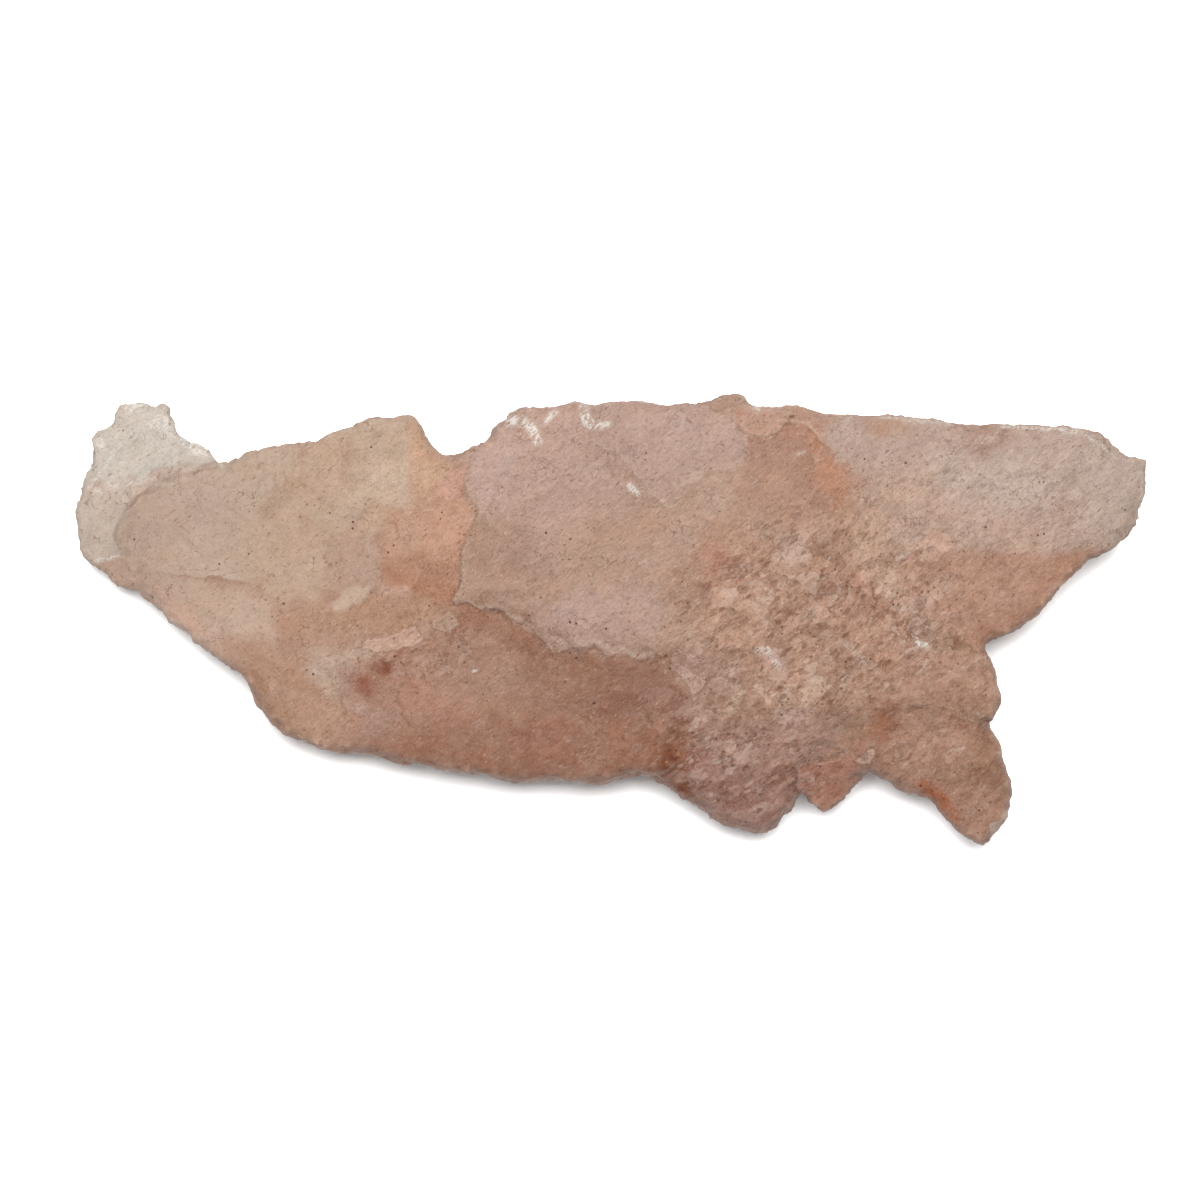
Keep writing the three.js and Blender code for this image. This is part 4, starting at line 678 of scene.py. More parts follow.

# %% Veins and bruises
# Thin lines on the stone: pale where an edge is bruised or a healed crack lies near the surface, white or pale as
# painted highlights along some rims and ledges, dark where dirt fills a crack. Each has a colour, a strength, a
# half-width and the places that it runs through. A dot is a single dark grain or pale nick, with a colour, a radius
# and a place.
VEINS = [
    (FROST_AND_HIGHLIGHT, 0.6, 0.13, [-1.35,11.03, -0.12,10.54, 0.62,10.17, 0.93,9.74, 1.55,8.94, 2.16,8.2, 2.96,7.65, 3.7,6.84]),
    (PAINTED_GLINT, 0.95, 0.22, [1.18,8.38, 1.42,7.95, 1.73,7.71]),
    (FROST_AND_HIGHLIGHT, 0.4, 0.16, [3.83,6.91, 4.32,7.71, 4.93,8.26]),
    (FROST_AND_HIGHLIGHT, 0.5, 0.14, [1.85,3.52, 2.35,3.83, 2.84,3.76]),
    (FROST_AND_HIGHLIGHT, 0.25, 0.14, [3.09,3.76, 4.01,3.64, 4.81,3.03, 5.43,2.59]),
    (FROST_AND_HIGHLIGHT, 0.7, 0.1, [3.76,-2.77, 4.32,-3.32, 4.93,-4.12, 5.24,-4.98]),
    (FROST_AND_HIGHLIGHT, 0.5, 0.24, [-2.15,-1.59, -1.23,-1.35, -0.42,-1.41, 0.13,-1.9, 0.75,-1.78, 1.36,-2.09, 1.92,-2.21,
      2.59,-1.96]),
    (FROST_AND_HIGHLIGHT, 0.35, 0.2, [-7.88,0.81, -6.46,0.68, -5.17,-0.3, -4,-1.16]),
    (DIRT_AND_SHADE, 0.3, 0.1, [-3.57,-1.96, -2.7,-2.03, -2.03,-1.78, -0.49,-1.84, 0.13,-2.33, 0.75,-2.15, 1.73,-2.64,
      2.78,-2.33]),
    (PAINTED_GLINT, 0.7, 0.36, [-6.15,12.14, -5.54,12.33, -4.92,11.96]),
    (PAINTED_GLINT, 0.8, 0.35, [-4.92,11.9, -4.55,11.4, -4.43,11.03]),
    (PAINTED_GLINT, 0.75, 0.25, [-4,12.14, -3.5,12.63, -3.26,12.76]),
    (PAINTED_GLINT, 0.85, 0.35, [-1.6,13, -1.47,12.39, -1.23,12.02]),
    (PAINTED_GLINT, 0.65, 0.3, [-1.47,12.14, -0.73,11.9, -0.18,12.08]),
    (WHITE_PATCH, 0.6, 0.4, [4.07,8.45, 4.69,8.57, 5.18,8.94]),
    (PAINTED_GLINT, 0.7, 0.22, [-31.84,3.7, -30.79,3.95, -30.24,4.13]),
    (FROST_AND_HIGHLIGHT, 0.45, 0.22, [-30.24,4.13, -29.62,3.89, -28.58,3.39, -27.34,3.03]),
    (PAINTED_GLINT, 0.8, 0.35, [-29.81,13.13, -29.32,13.31, -28.88,13.44]),
    (PAINTED_GLINT, 0.75, 0.4, [-26.73,11.65, -26.24,11.09, -25.74,10.73, -25.37,10.42]),
    (PAINTED_GLINT, 0.6, 0.3, [-31.66,11.16, -31.47,10.79]),
    (PAINTED_GLINT, 0.5, 0.5, [-28.33,12.39, -27.41,12.14, -26.97,11.77]),
    (PAINTED_GLINT, 0.45, 0.25, [-31.1,8.32, -29.75,8.51, -28.76,8.75]),
    (PAINTED_GLINT, 0.6, 0.25, [-31.9,8.08, -31.66,7.95]),
    (FROST_AND_HIGHLIGHT, 0.5, 0.12, [-29.56,7.21, -28.64,7.89, -27.71,8.26, -26.17,8.82]),
    (FROST_AND_HIGHLIGHT, 0.5, 0.12, [-26.17,9.62, -25.25,9.43, -24.39,9.74]),
    (DARK_RED, 0.95, 0.13, [-21.68,9.62, -21.62,9.37]),
    (DIRT_AND_SHADE, 0.5, 0.12, [-19.15,10.42, -18.78,10.54, -18.35,10.73]),
    (SOOT, 0.7, 0.08, [-19.09,10.29, -18.72,10.36]),
    (DIRT_AND_SHADE, 0.6, 0.08, [-20.38,9.37, -20.08,9.06, -19.89,8.69]),
    (DIRT_AND_SHADE, 0.4, 0.08, [-21.8,6.47, -21.43,6.97, -21.06,7.4, -20.38,8.14, -19.77,8.63]),
    (DIRT_AND_SHADE, 0.45, 0.08, [-16.26,5.3, -15.64,6.04, -15.02,6.6, -14.59,7.09]),
    (DIRT_AND_SHADE, 0.4, 0.1, [-21.62,1.79, -21.31,2.66, -20.69,3.09]),
    (FROST_AND_HIGHLIGHT, 0.6, 0.1, [-14.28,3.39, -14.16,2.9, -14.16,2.41, -14.53,1.98, -14.9,1.55]),
    (DIRT_AND_SHADE, 0.75, 0.09, [-12.13,-1.35, -11.82,-1.1, -11.57,-0.98]),
    (FROST_AND_HIGHLIGHT, 0.7, 0.12, [-11.45,-0.73, -11.08,-1.1]),
    (DIRT_AND_SHADE, 0.55, 0.1, [-14.16,-2.46, -13.67,-2.03, -13.18,-1.72]),
    (FROST_AND_HIGHLIGHT, 0.5, 0.08, [-13.79,-2.52, -13.3,-1.96, -12.93,-1.66]),
    (FROST_AND_HIGHLIGHT, 0.5, 0.09, [-9.79,0.56, -9.42,-0.12, -9.85,-0.67]),
    (DIRT_AND_SHADE, 0.5, 0.12, [-9.73,-0.79, -9.11,-0.98]),
    (DIRT_AND_SHADE, 0.35, 0.06, [-11.02,-1.84, -10.47,-2.4, -10.1,-2.7]),
    (FROST_AND_HIGHLIGHT, 0.4, 0.2, [-18.54,-2.77, -18.29,-3.2, -18.47,-3.63]),
    (FROST_AND_HIGHLIGHT, 0.35, 0.35, [-15.89,-5.6, -15.27,-5.23, -14.78,-5.85]),
    (PAINTED_GLINT, 0.95, 0.2, [-8.37,-3.01, -8.31,-3.07]),
    (SOOT, 0.85, 0.06, [-5.23,-0.55, -5.35,-1.16, -5.48,-1.72]),
    (DIRT_AND_SHADE, 0.6, 0.08, [-5.91,-0.61, -5.66,-0.42]),
    (SOOT, 0.8, 0.07, [-3.75,1.67, -3.81,1.3]),
    (FROST_AND_HIGHLIGHT, 0.6, 0.09, [-1.53,-3.26, -1.6,-4.12]),
    (FROST_AND_HIGHLIGHT, 0.45, 0.09, [-2.7,-3.94, -2.27,-3.81, -1.84,-4.06]),
    (FROST_AND_HIGHLIGHT, 0.4, 0.12, [1.85,-5.6, 2.22,-6.21, 2.59,-6.89]),
    (DIRT_AND_SHADE, 0.55, 0.09, [7.58,12.08, 8.01,11.65, 8.51,11.34, 9.25,11.28, 9.74,11.34, 10.36,11.65]),
    (DARK_RED, 0.5, 0.12, [7.64,12.14, 8.08,11.65, 8.38,11.46]),
    (PAINTED_GLINT, 0.9, 0.14, [11.46,10.23, 11.71,10.29, 11.9,10.36]),
    (SOOT, 0.6, 0.12, [9.8,10.73, 10.23,10.6, 10.48,10.6]),
    (DIRT_AND_SHADE, 0.35, 0.12, [14.91,12.14, 14.98,10.66, 15.16,9.31]),
    (DIRT_AND_SHADE, 0.3, 0.1, [15.71,12.02, 15.78,10.54, 15.9,9.19]),
    (FROST_AND_HIGHLIGHT, 0.35, 0.14, [14.61,11.77, 14.67,10.54, 14.79,9.68]),
    (DIRT_AND_SHADE, 0.3, 0.1, [17.13,11.4, 17.13,10.23, 17.25,9.31]),
    (PAINTED_GLINT, 0.8, 0.16, [8.75,13.07, 9.12,12.94]),
    (PAINTED_GLINT, 0.8, 0.14, [9.86,13.25, 10.36,13.19]),
    (WHITE_PATCH, 0.6, 0.2, [13.93,12.63, 14.67,12.57]),
    (DIRT_AND_SHADE, 0.35, 0.1, [26.12,11.65, 26.43,10.79, 26.19,9.8]),
    (DIRT_AND_SHADE, 0.35, 0.1, [27.23,11.65, 27.48,10.73, 27.3,10.11]),
    (DIRT_AND_SHADE, 0.3, 0.1, [29.02,11.4, 29.14,10.6, 29.08,9.92]),
    (DIRT_AND_SHADE, 0.4, 0.1, [21.2,11.77, 21.57,11.16, 21.81,10.73]),
    (DIRT_AND_SHADE, 0.4, 0.1, [21.44,10.42, 21.38,10.05, 21.57,9.86]),
    (DIRT_AND_SHADE, 0.35, 0.12, [22.31,10.54, 23.17,10.54, 24.03,10.91, 24.52,11.4]),
    (FROST_AND_HIGHLIGHT, 0.5, 0.35, [22.68,11.03, 23.29,11.16, 23.85,11.53]),
    (DIRT_AND_SHADE, 0.6, 0.1, [22.92,7.65, 23.29,7.21, 23.66,6.78]),
    (DIRT_AND_SHADE, 0.4, 0.1, [19.29,8.63, 19.84,8.32, 20.33,8.14]),
    (DIRT_AND_SHADE, 0.4, 0.1, [19.41,4.69, 20.03,5.24, 20.7,5.61]),
    (FROST_AND_HIGHLIGHT, 0.8, 0.16, [17.87,3.89, 18.36,4.26]),
    (DIRT_AND_SHADE, 0.35, 0.08, [20.64,4.13, 21.57,4.26, 22.49,4.32, 23.41,4.32]),
    (DIRT_AND_SHADE, 0.5, 0.12, [30.25,10.48, 30.68,10.54, 30.74,10.17, 30.62,9.8]),
    (DIRT_AND_SHADE, 0.45, 0.1, [27.73,7.46, 28.34,7.21, 28.84,7.46]),
    (DIRT_AND_SHADE, 0.55, 0.12, [13.37,4.81, 14.05,4.07, 14.67,3.33, 15.22,2.84]),
    (DIRT_AND_SHADE, 0.45, 0.1, [14.67,3.33, 15.41,1.92, 16.33,0.68, 17.25,-0.92]),
    (FROST_AND_HIGHLIGHT, 0.3, 0.1, [13.62,4.81, 14.3,4.07, 14.91,3.39]),
    (DARK_RED, 0.6, 0.12, [12.45,2.59, 12.82,2.22, 13.19,1.92]),
    (DIRT_AND_SHADE, 0.35, 0.1, [12.63,6.91, 12.94,5.98, 13.31,5]),
    (DIRT_AND_SHADE, 0.35, 0.1, [12.82,-0.18, 13.68,-2.09, 14.42,-3.87]),
    (FROST_AND_HIGHLIGHT, 0.3, 0.1, [13.44,-2.52, 13.93,-3.01, 14.24,-3.5]),
    (DIRT_AND_SHADE, 0.7, 0.12, [16.76,-2.15, 16.88,-2.64, 17.01,-3.2]),
    (DARK_RED, 0.7, 0.13, [7.52,2.96, 7.71,2.9]),
    (DIRT_AND_SHADE, 0.35, 0.06, [8.01,3.09, 8.45,3.58, 8.82,4.01]),
    (SOOT, 0.6, 0.12, [18.3,-0.05, 18.42,-0.67, 18.67,-1.16]),
    (PAINTED_GLINT, 0.95, 0.22, [18.79,-1.16, 19.1,-1.41, 19.47,-1.47]),
    (FROST_AND_HIGHLIGHT, 0.6, 0.1, [19.84,-1.35, 20.33,-0.79, 20.58,-0.61]),
    (SOOT, 0.6, 0.1, [18.86,0.81, 19.23,0.31]),
    (DIRT_AND_SHADE, 0.4, 0.09, [16.21,-4.92, 16.95,-5.04, 17.62,-5.11]),
    (DIRT_AND_SHADE, 0.55, 0.1, [16.39,-7.51, 16.58,-8.06, 16.39,-8.43, 16.15,-8.74]),
    (FROST_AND_HIGHLIGHT, 0.5, 0.2, [21.94,-5.41, 22.55,-5.72, 23.04,-5.91]),
    (FROST_AND_HIGHLIGHT, 0.5, 0.2, [20.7,-8.37, 20.95,-8, 21.69,-7.75]),
    (FROST_AND_HIGHLIGHT, 0.3, 0.15, [20.83,-7.32, 21.32,-7.45]),
    (DIRT_AND_SHADE, 0.55, 0.12, [11.09,-8.8, 11.28,-9.36, 11.65,-10.28, 11.9,-10.84]),
    (DIRT_AND_SHADE, 0.5, 0.12, [9.49,-8.68, 9.74,-9.05, 10.29,-9.29, 11.16,-8.8]),
    (DIRT_AND_SHADE, 0.45, 0.1, [8.94,-7.57, 9,-6.89, 9.25,-6.4, 9.68,-5.72]),
    (DIRT_AND_SHADE, 0.5, 0.1, [10.48,-5.41, 11.4,-5.41, 12.2,-5.23, 12.82,-4.86, 13.37,-4.37]),
    (FROST_AND_HIGHLIGHT, 0.4, 0.08, [8.01,-3.2, 8.88,-4.24, 9.68,-5.23]),
    (PAINTED_GLINT, 0.6, 0.28, [9.06,-1.84, 9.62,-1.78, 10.11,-2.4, 10.36,-2.83]),
    (DIRT_AND_SHADE, 0.5, 0.1, [10.17,-2.52, 10.23,-2.83]),
    (FROST_AND_HIGHLIGHT, 0.45, 0.3, [14.17,-1.29, 14.79,-1.66, 15.16,-2.15]),
    (FROST_AND_HIGHLIGHT, 0.4, 0.3, [15.78,-2.52, 16.15,-3.01]),
    (FROST_AND_HIGHLIGHT, 0.35, 0.3, [5.8,-7.63, 6.29,-7.82, 6.54,-8.68]),
    (PAINTED_GLINT, 0.6, 0.16, [16.64,12.51, 19.1,12.2, 20.95,12.14]),
    (PAINTED_GLINT, 0.75, 0.18, [24.03,11.9, 26.49,11.83, 28.65,11.65]),
    (PAINTED_GLINT, 0.6, 0.16, [28.96,11.53, 30.19,10.79, 30.93,10.17]),
    (PAINTED_GLINT, 0.55, 0.14, [32.65,9.31, 32.78,7.46, 32.41,6.23]),
    (PAINTED_GLINT, 0.7, 0.14, [-30.18,11.16, -30.79,10.42, -31.41,9.31, -32.4,8.2]),
    (PAINTED_GLINT, 0.7, 0.16, [-25.13,10.42, -24.39,9.92, -23.89,9.43]),
    (PAINTED_GLINT, 0.5, 0.12, [-30.49,2.04, -29.25,1.3, -27.71,0.56, -25.87,-0.92]),
    (FROST_AND_HIGHLIGHT, 0.5, 0.12, [-24.63,-1.9, -23.28,-3.13, -22.66,-4.24]),
    (PAINTED_GLINT, 0.5, 0.12, [-4.31,13.13, -3.07,13.44, -0.61,13.37]),
    (PAINTED_GLINT, 0.5, 0.12, [1.85,13.37, 3.7,13.5, 5.55,13.56]),
]
SOOT_RADII = (0.09, 0.12, 0.07, 0.1)  # the grains of soot take turns at these
SOOT_PLACES = [
    -4.1,8.6, -5.2,7.3, -4.9,4.4, -3.4,2.9, -2.7,2.9, -1.2,1.9, -3.8,1.5, 2.2,7.3, 1.7,6.5, -0.4,8, -1.2,11.2,
    -9.1,8.2, -8.5,0.9, -6.9,0.1, -5.7,-0.5, -6.3,-1.8, -9,-1, -8.9,-3.8, 2.8,-0.4, 2.5,-3, 3.5,-4.7, -5,-7.4,
    -8.5,-7.5, -8.4,-8.1, -1.4,-2.8, -0.1,-3.6, 19.6,10.8, 27.2,10.1, 28.2,8, 28.7,7.4, 17.2,9.2, 18.2,1.7, 22.4,-1.4,
    21.1,2.7,
]
DOTS = [(SOOT, SOOT_RADII[i % 4], x, y) for i, (x, y) in enumerate(np.reshape(SOOT_PLACES, (-1, 2)))] + [
    (SOOT, 0.2, 3.4, -2.1), (DARK_RED, 0.16, -21.7, 9.5), (DARK_RED, 0.15, 7.6, 2.9), (FROST_AND_HIGHLIGHT, 0.22, -8.3, -3.1),
    (FROST_AND_HIGHLIGHT, 0.15, -2, 9.2), (FROST_AND_HIGHLIGHT, 0.15, 23.2, -8.6), (DARK_RED, 0.18, 2.7, -9), (DIRT_AND_SHADE, 0.2, 13.8, 8),
    (DIRT_AND_SHADE, 0.15, 13.9, 7.5),
]
print(len(VEINS), "veins and", len(DOTS), "dots")

# %% Distances on the plan
def segment_distance(points, start, end):
    side = end - start
    offset = points - start
    along = np.clip(offset @ side / (side @ side), 0, 1)
    return np.linalg.norm(offset - along[:, None] * side, axis=1)


def outline_distance(points, outline):
    """Distance on the plan to a closed outline, below 0 inside it."""
    corners = np.array(outline, dtype=float).reshape(-1, 2)
    nearest = np.full(len(points), np.inf)
    inside = np.zeros(len(points), dtype=bool)
    for start, end in zip(corners, np.roll(corners, -1, axis=0)):
        nearest = np.minimum(nearest, segment_distance(points, start, end))
        if start[1] != end[1]:
            passes = (start[1] > points[:, 1]) != (end[1] > points[:, 1])
            share = (points[:, 1] - start[1]) / (end[1] - start[1])
            inside ^= passes & (points[:, 0] < start[0] + share * (end[0] - start[0]))
    return np.where(inside, -nearest, nearest)


def line_distance(points, line):
    corners = np.array(line, dtype=float).reshape(-1, 2)
    return np.minimum.reduce([segment_distance(points, a, b) for a, b in zip(corners, corners[1:])])


def fractal(points, size, seed):
    """Noise from about -1 to 1 at each point, with its slowest waves size millimetres long."""
    roughening, finer_by, octaves = 1.0, 2.0, 4
    shift = Vector((seed, 2 * seed, 3 * seed))
    return np.array([noise.fractal(Vector(p) / size + shift, roughening, finer_by, octaves) for p in points])


# %% [markdown]
# A colour stored at the vertices can't change faster than from one vertex to the next, and that would blur every
# border. So beside its colour each vertex keeps the colour across the nearest crisp border and its distance to
# that border, below 0 inside the zone. Distance changes evenly, so the material can cut it sharply between two
# vertices, and roughen the cut with a fine noise.

# %% Paint the zones
BORDER_WAVE = 1.1  # size of the bends in a zone's border, in millimetres
BORDER_BEND = 0.24  # how far they bend it, and SOFT_BEND is how much further where it is soft
SOFT_BEND = 1.2
REACH = 0.45  # a crisp border is known this far to each side of it
FADE_START = 0.55 * REACH


def paint_zones(places):
    """The colour inside the nearest border, the colour outside it, the distance to it and how much it is a ledge."""
    plan = places[:, :2]
    bend = BORDER_BEND * fractal(places, BORDER_WAVE, 1)
    inside = np.tile(SAND, (len(places), 1))
    outside = inside.copy()
    border = np.full(len(places), REACH)
    ledge = np.zeros(len(places))
    for _, tint, softness, step, outline in LEFT_ZONES + RIGHT_ZONES:
        distance = outline_distance(plan, outline) + bend * (1 + SOFT_BEND * min(1.0, softness))
        if softness:
            mask = ease(distance, softness, -softness)[:, None]
            inside += mask * (tint - inside)
            outside += mask * (tint - outside)
            ledge *= 1 - mask[:, 0]
            continue
        ground = np.where((border < 0)[:, None], inside, outside)
        own = np.where((distance < 0)[:, None], tint, ground)
        keep = ease(np.abs(distance), REACH, FADE_START)
        near, deep = np.abs(distance) < REACH, distance <= -REACH
        inside[near] = (own + keep[:, None] * (tint - own))[near]
        outside[near] = (own + keep[:, None] * (ground - own))[near]
        border[near] = distance[near]
        ledge[near] = (step * keep)[near]
        inside[deep] = outside[deep] = tint
        ledge[deep] = 0
    return inside, outside, border, ledge


places = vertex_places()
stain, ground, border, ledge = paint_zones(places)
store_attribute("stain", stain, "FLOAT_VECTOR")
store_attribute("ground", ground, "FLOAT_VECTOR")
store_attribute("border", border)
store_attribute("ledge", ledge)
print("average stain", stain.mean(0).round(3))

# %% Paint the veins and the dots
VEIN_REACH = 0.5
VEIN_WAVE = 0.9  # size of the bends in a vein, in millimetres
VEIN_BEND = 0.10
DOT_STRENGTH = 0.9
PATCH = 4.0  # size of the patches with many specks, in millimetres


def paint_veins(places):
    """The colour of the nearest vein or dot, its strength, and the distance to its edge."""
    plan = places[:, :2]
    bend = np.column_stack([fractal(places, VEIN_WAVE, 2), fractal(places, VEIN_WAVE, 3)])
    bent = plan + VEIN_BEND * bend
    colour = np.tile(DIRT_AND_SHADE, (len(places), 1))
    strength = np.zeros(len(places))
    edge = np.full(len(places), VEIN_REACH)
    marks = [(tint, full, line_distance(bent, line) - half) for tint, full, half, line in VEINS]
    for tint, radius, x, y in DOTS:
        marks.append((tint, DOT_STRENGTH, np.linalg.norm(plan - np.array((x, y)), axis=1) - radius))
    for tint, full, distance in marks:
        near = distance < np.minimum(edge, VEIN_REACH)
        colour[near], strength[near], edge[near] = tint, full, distance[near]
    return colour, strength, edge


vein_colour, vein_strength, vein = paint_veins(places)
store_attribute("vein_colour", vein_colour, "FLOAT_VECTOR")
store_attribute("vein_strength", vein_strength)
store_attribute("vein", vein)
store_attribute("patchy", ease(fractal(places, PATCH, 5), -0.4, 0.5))
print(f"{(vein < 0).mean():.1%} of the vertices lie on a vein")

# %% [markdown]
# ## The stone's colour and depth
# Cloudy beryl is neither glass nor paint. Some light goes straight through it, more of it scatters inside, and the
# painted zones colour it. The shader has plain transmission and absorption for the clear part and subsurface
# scattering for the cloudy part. On top of the zones lie markings of several sizes: slow mottling, flakes and chips,
# hair cracks, fine grain, specks, and short scratches that lean the same way all over because the cleavage does. The
# mottling, the flakes and the ledges also drive the bump, so what looks raised shades as if it were.

# %% Node helpers
class Sheet:
    """Short ways to add nodes to a node tree. A socket given to an input is linked, anything else is its value."""

    def __init__(self, tree):
        self.tree = tree

    def fill(self, socket, value):
        if isinstance(value, bpy.types.NodeSocket):
            self.tree.links.new(value, socket)
        else:
            socket.default_value = (*value, 1) if isinstance(value, np.ndarray) else value

    def node(self, kind, *values, settings=None, **named):
        """A node with its settings made, its first inputs filled in order and others filled by name."""
        node = self.tree.nodes.new("ShaderNode" + kind)
        for name, value in (settings or {}).items():
            setattr(node, name, value)
        for socket, value in zip(node.inputs, values):
            self.fill(socket, value)
        for name, value in named.items():
            self.fill(node.inputs[name.replace("_", " ")], value)
        return node

    def maths(self, operation, *values):
        return self.node("Math", *values, settings={"operation": operation}).outputs[0]

    def plus(self, first, second):
        return self.maths("ADD", first, second)

    def minus(self, first, second):
        return self.maths("SUBTRACT", first, second)

    def times(self, first, second):
        return self.maths("MULTIPLY", first, second)

    def most(self, first, second):
        return self.maths("MAXIMUM", first, second)

    def scaled(self, value, factor, plus):
        """value times factor, plus something."""
        return self.maths("MULTIPLY_ADD", value, factor, plus)

    def vector(self, operation, *values, **named):
        return self.node("VectorMath", *values, settings={"operation": operation}, **named).outputs[0]

    def eased(self, value, start, end, low=0.0, high=1.0):
        """Eases from low to high as value goes from start to end."""
        ends = {"From_Min": start, "From_Max": end, "To_Min": low, "To_Max": high}
        smoothly = {"interpolation_type": "SMOOTHSTEP"}
        return self.node("MapRange", settings=smoothly, Value=value, **ends).outputs["Result"]

    def blend(self, factor, first, second):
        """The first colour where the factor is 0, the second where it is 1."""
        node = self.node("Mix", factor, settings={"data_type": "RGBA"})
        self.fill(node.inputs[6], first)
        self.fill(node.inputs[7], second)
        return node.outputs[2]

    def read(self, name, output="Fac"):
        return self.node("Attribute", settings={"attribute_name": name}).outputs[output]

    def centred_noise(self, place, size, detail, roughness):
        """Noise from about -0.5 to 0.5, with its slowest waves size millimetres long."""
        grain = self.node("TexNoise", Vector=place, Scale=1.0 / size, Detail=detail, Roughness=roughness)
        return self.minus(grain.outputs["Fac"], 0.5)

    def use(self, group, **inputs):
        return self.node("Group", settings={"node_tree": group}, **inputs).outputs


def new_group(name, inputs, outputs):
    """A sheet for a new group of nodes, its given sockets and its result sockets."""
    group = bpy.data.node_groups.new(name, "ShaderNodeTree")
    for label, kind, value in inputs:
        socket = group.interface.new_socket(name=label, in_out="INPUT", socket_type=f"NodeSocket{kind}")
        if value is not None:
            socket.default_value = value
    for label in outputs:
        group.interface.new_socket(name=label, in_out="OUTPUT", socket_type="NodeSocketFloat")
    return Sheet(group), group.nodes.new("NodeGroupInput").outputs, group.nodes.new("NodeGroupOutput").inputs


print("node helpers:", ", ".join(name for name in vars(Sheet) if name[0] != "_"))

# %% Specks
SPECK_INPUTS = [
    ("Position", "Vector", None),
    ("Spacing", "Float", 1.0),
    ("Radius", "Float", 0.1),
    ("Share", "Float", 0.3),
]


def make_speck_group():
    """Round grains scattered at a spacing, of a size, present in a share of the places. All sizes in millimetres."""
    sheet, given, result = new_group("specks", SPECK_INPUTS, ["Mask", "Kind"])
    density = sheet.maths("DIVIDE", 1.0, given["Spacing"])
    nearest = {"feature": "F1"}
    cells = sheet.node("TexVoronoi", settings=nearest, Vector=given["Position"], Scale=density, Randomness=1.0)
    distance = sheet.times(cells.outputs["Distance"], given["Spacing"])
    chance = sheet.node("SeparateColor", Color=cells.outputs["Color"]).outputs
    size = sheet.times(given["Radius"], sheet.eased(chance[1], 0.0, 1.0, 0.5, 1.3))
    dot = sheet.eased(distance, size, sheet.times(size, 0.6))
    present = sheet.maths("LESS_THAN", chance[0], given["Share"])
    sheet.fill(result["Mask"], sheet.times(dot, present))
    sheet.fill(result["Kind"], chance[2])
    return sheet.tree


speck_group = make_speck_group()
print("speck group has", len(speck_group.nodes), "nodes")

# %% Streaks and facets of one direction
LAID_ALONG = [
    ("Position", "Vector", None),
    ("Turn", "Float", 0.0),
    ("Length", "Float", 1.5),
    ("Width", "Float", 0.3),
]


def lay_along(sheet, given):
    """The place turned on the plan and squeezed, so that a pattern in it comes out length by width millimetres."""
    around = {"rotation_type": "Z_AXIS"}
    turned = sheet.node("VectorRotate", settings=around, Vector=given["Position"], Angle=given["Turn"])
    stretch = sheet.node("CombineXYZ", given["Length"], given["Width"], given["Width"])
    return sheet.vector("DIVIDE", turned.outputs[0], stretch.outputs[0])


def make_streak_group():
    """Short scratches along one direction on the plan, as a value around 0."""
    sheet, given, result = new_group("streaks", LAID_ALONG, ["Value"])
    grain = sheet.centred_noise(lay_along(sheet, given), size=1.0, detail=2.0, roughness=0.6)
    sheet.fill(result["Value"], grain)
    return sheet.tree


def make_facet_group():
    """Small cleavage chips: each cell has a level of its own from -0.5 to 0.5."""
    sheet, given, result = new_group("facets", LAID_ALONG, ["Level"])
    cells = sheet.node("TexVoronoi", settings={"feature": "F1"}, Vector=lay_along(sheet, given), Scale=1.0)
    chance = sheet.node("SeparateColor", Color=cells.outputs["Color"]).outputs
    sheet.fill(result["Level"], sheet.minus(chance[0], 0.5))
    return sheet.tree


streak_group = make_streak_group()
facet_group = make_facet_group()
print("streaks:", len(streak_group.nodes), "nodes, facets:", len(facet_group.nodes), "nodes")

# %% Material
# Sizes are in millimetres. The cleavage turns scratches, flakes and chips the same way.
CLEAVAGE = math.radians(-38)
SCRATCHES = {"Turn": CLEAVAGE, "Length": 0.45, "Width": 0.11}
FLAKES = {"Turn": CLEAVAGE, "Length": 1.3, "Width": 0.75}
CHIPS = {"Turn": CLEAVAGE, "Length": 0.42, "Width": 0.22}
SPECKS = {"Spacing": 0.36, "Radius": 0.085, "Share": 0.4}
MOTTLE_SIZE = 0.8
GRAIN_SIZE = 0.13
HUE_SIZE = 2.2
FLAKE_RIM_SIZE = 1.7
CRACK_SIZE = 1.1
CELL_BEND = 0.45  # how far the mottling bends the outlines of flakes and chips
HUE_SHIFT = (-0.06, 0.03, 0.14)  # how much each channel follows the slow hue noise
DARKEST = 0.003  # no channel of the stone's own colour is darker
CRISP = 0.05  # half the width over which a zone's border changes colour
SOOT_SHARE = 0.10  # of the specks
GLASS_AND_CLOUD = {
    "Transmission Weight": 0.3,
    "IOR": 1.58,  # beryl
    "Specular IOR Level": 0.12,
    "Subsurface Weight": 0.15,
    "Subsurface Radius": (1.0, 0.62, 0.48),
    "Subsurface Scale": 0.3 * MM,
}
ABSORBED = {"Color": (0.80, 0.55, 0.45, 1), "Density": 220.0}


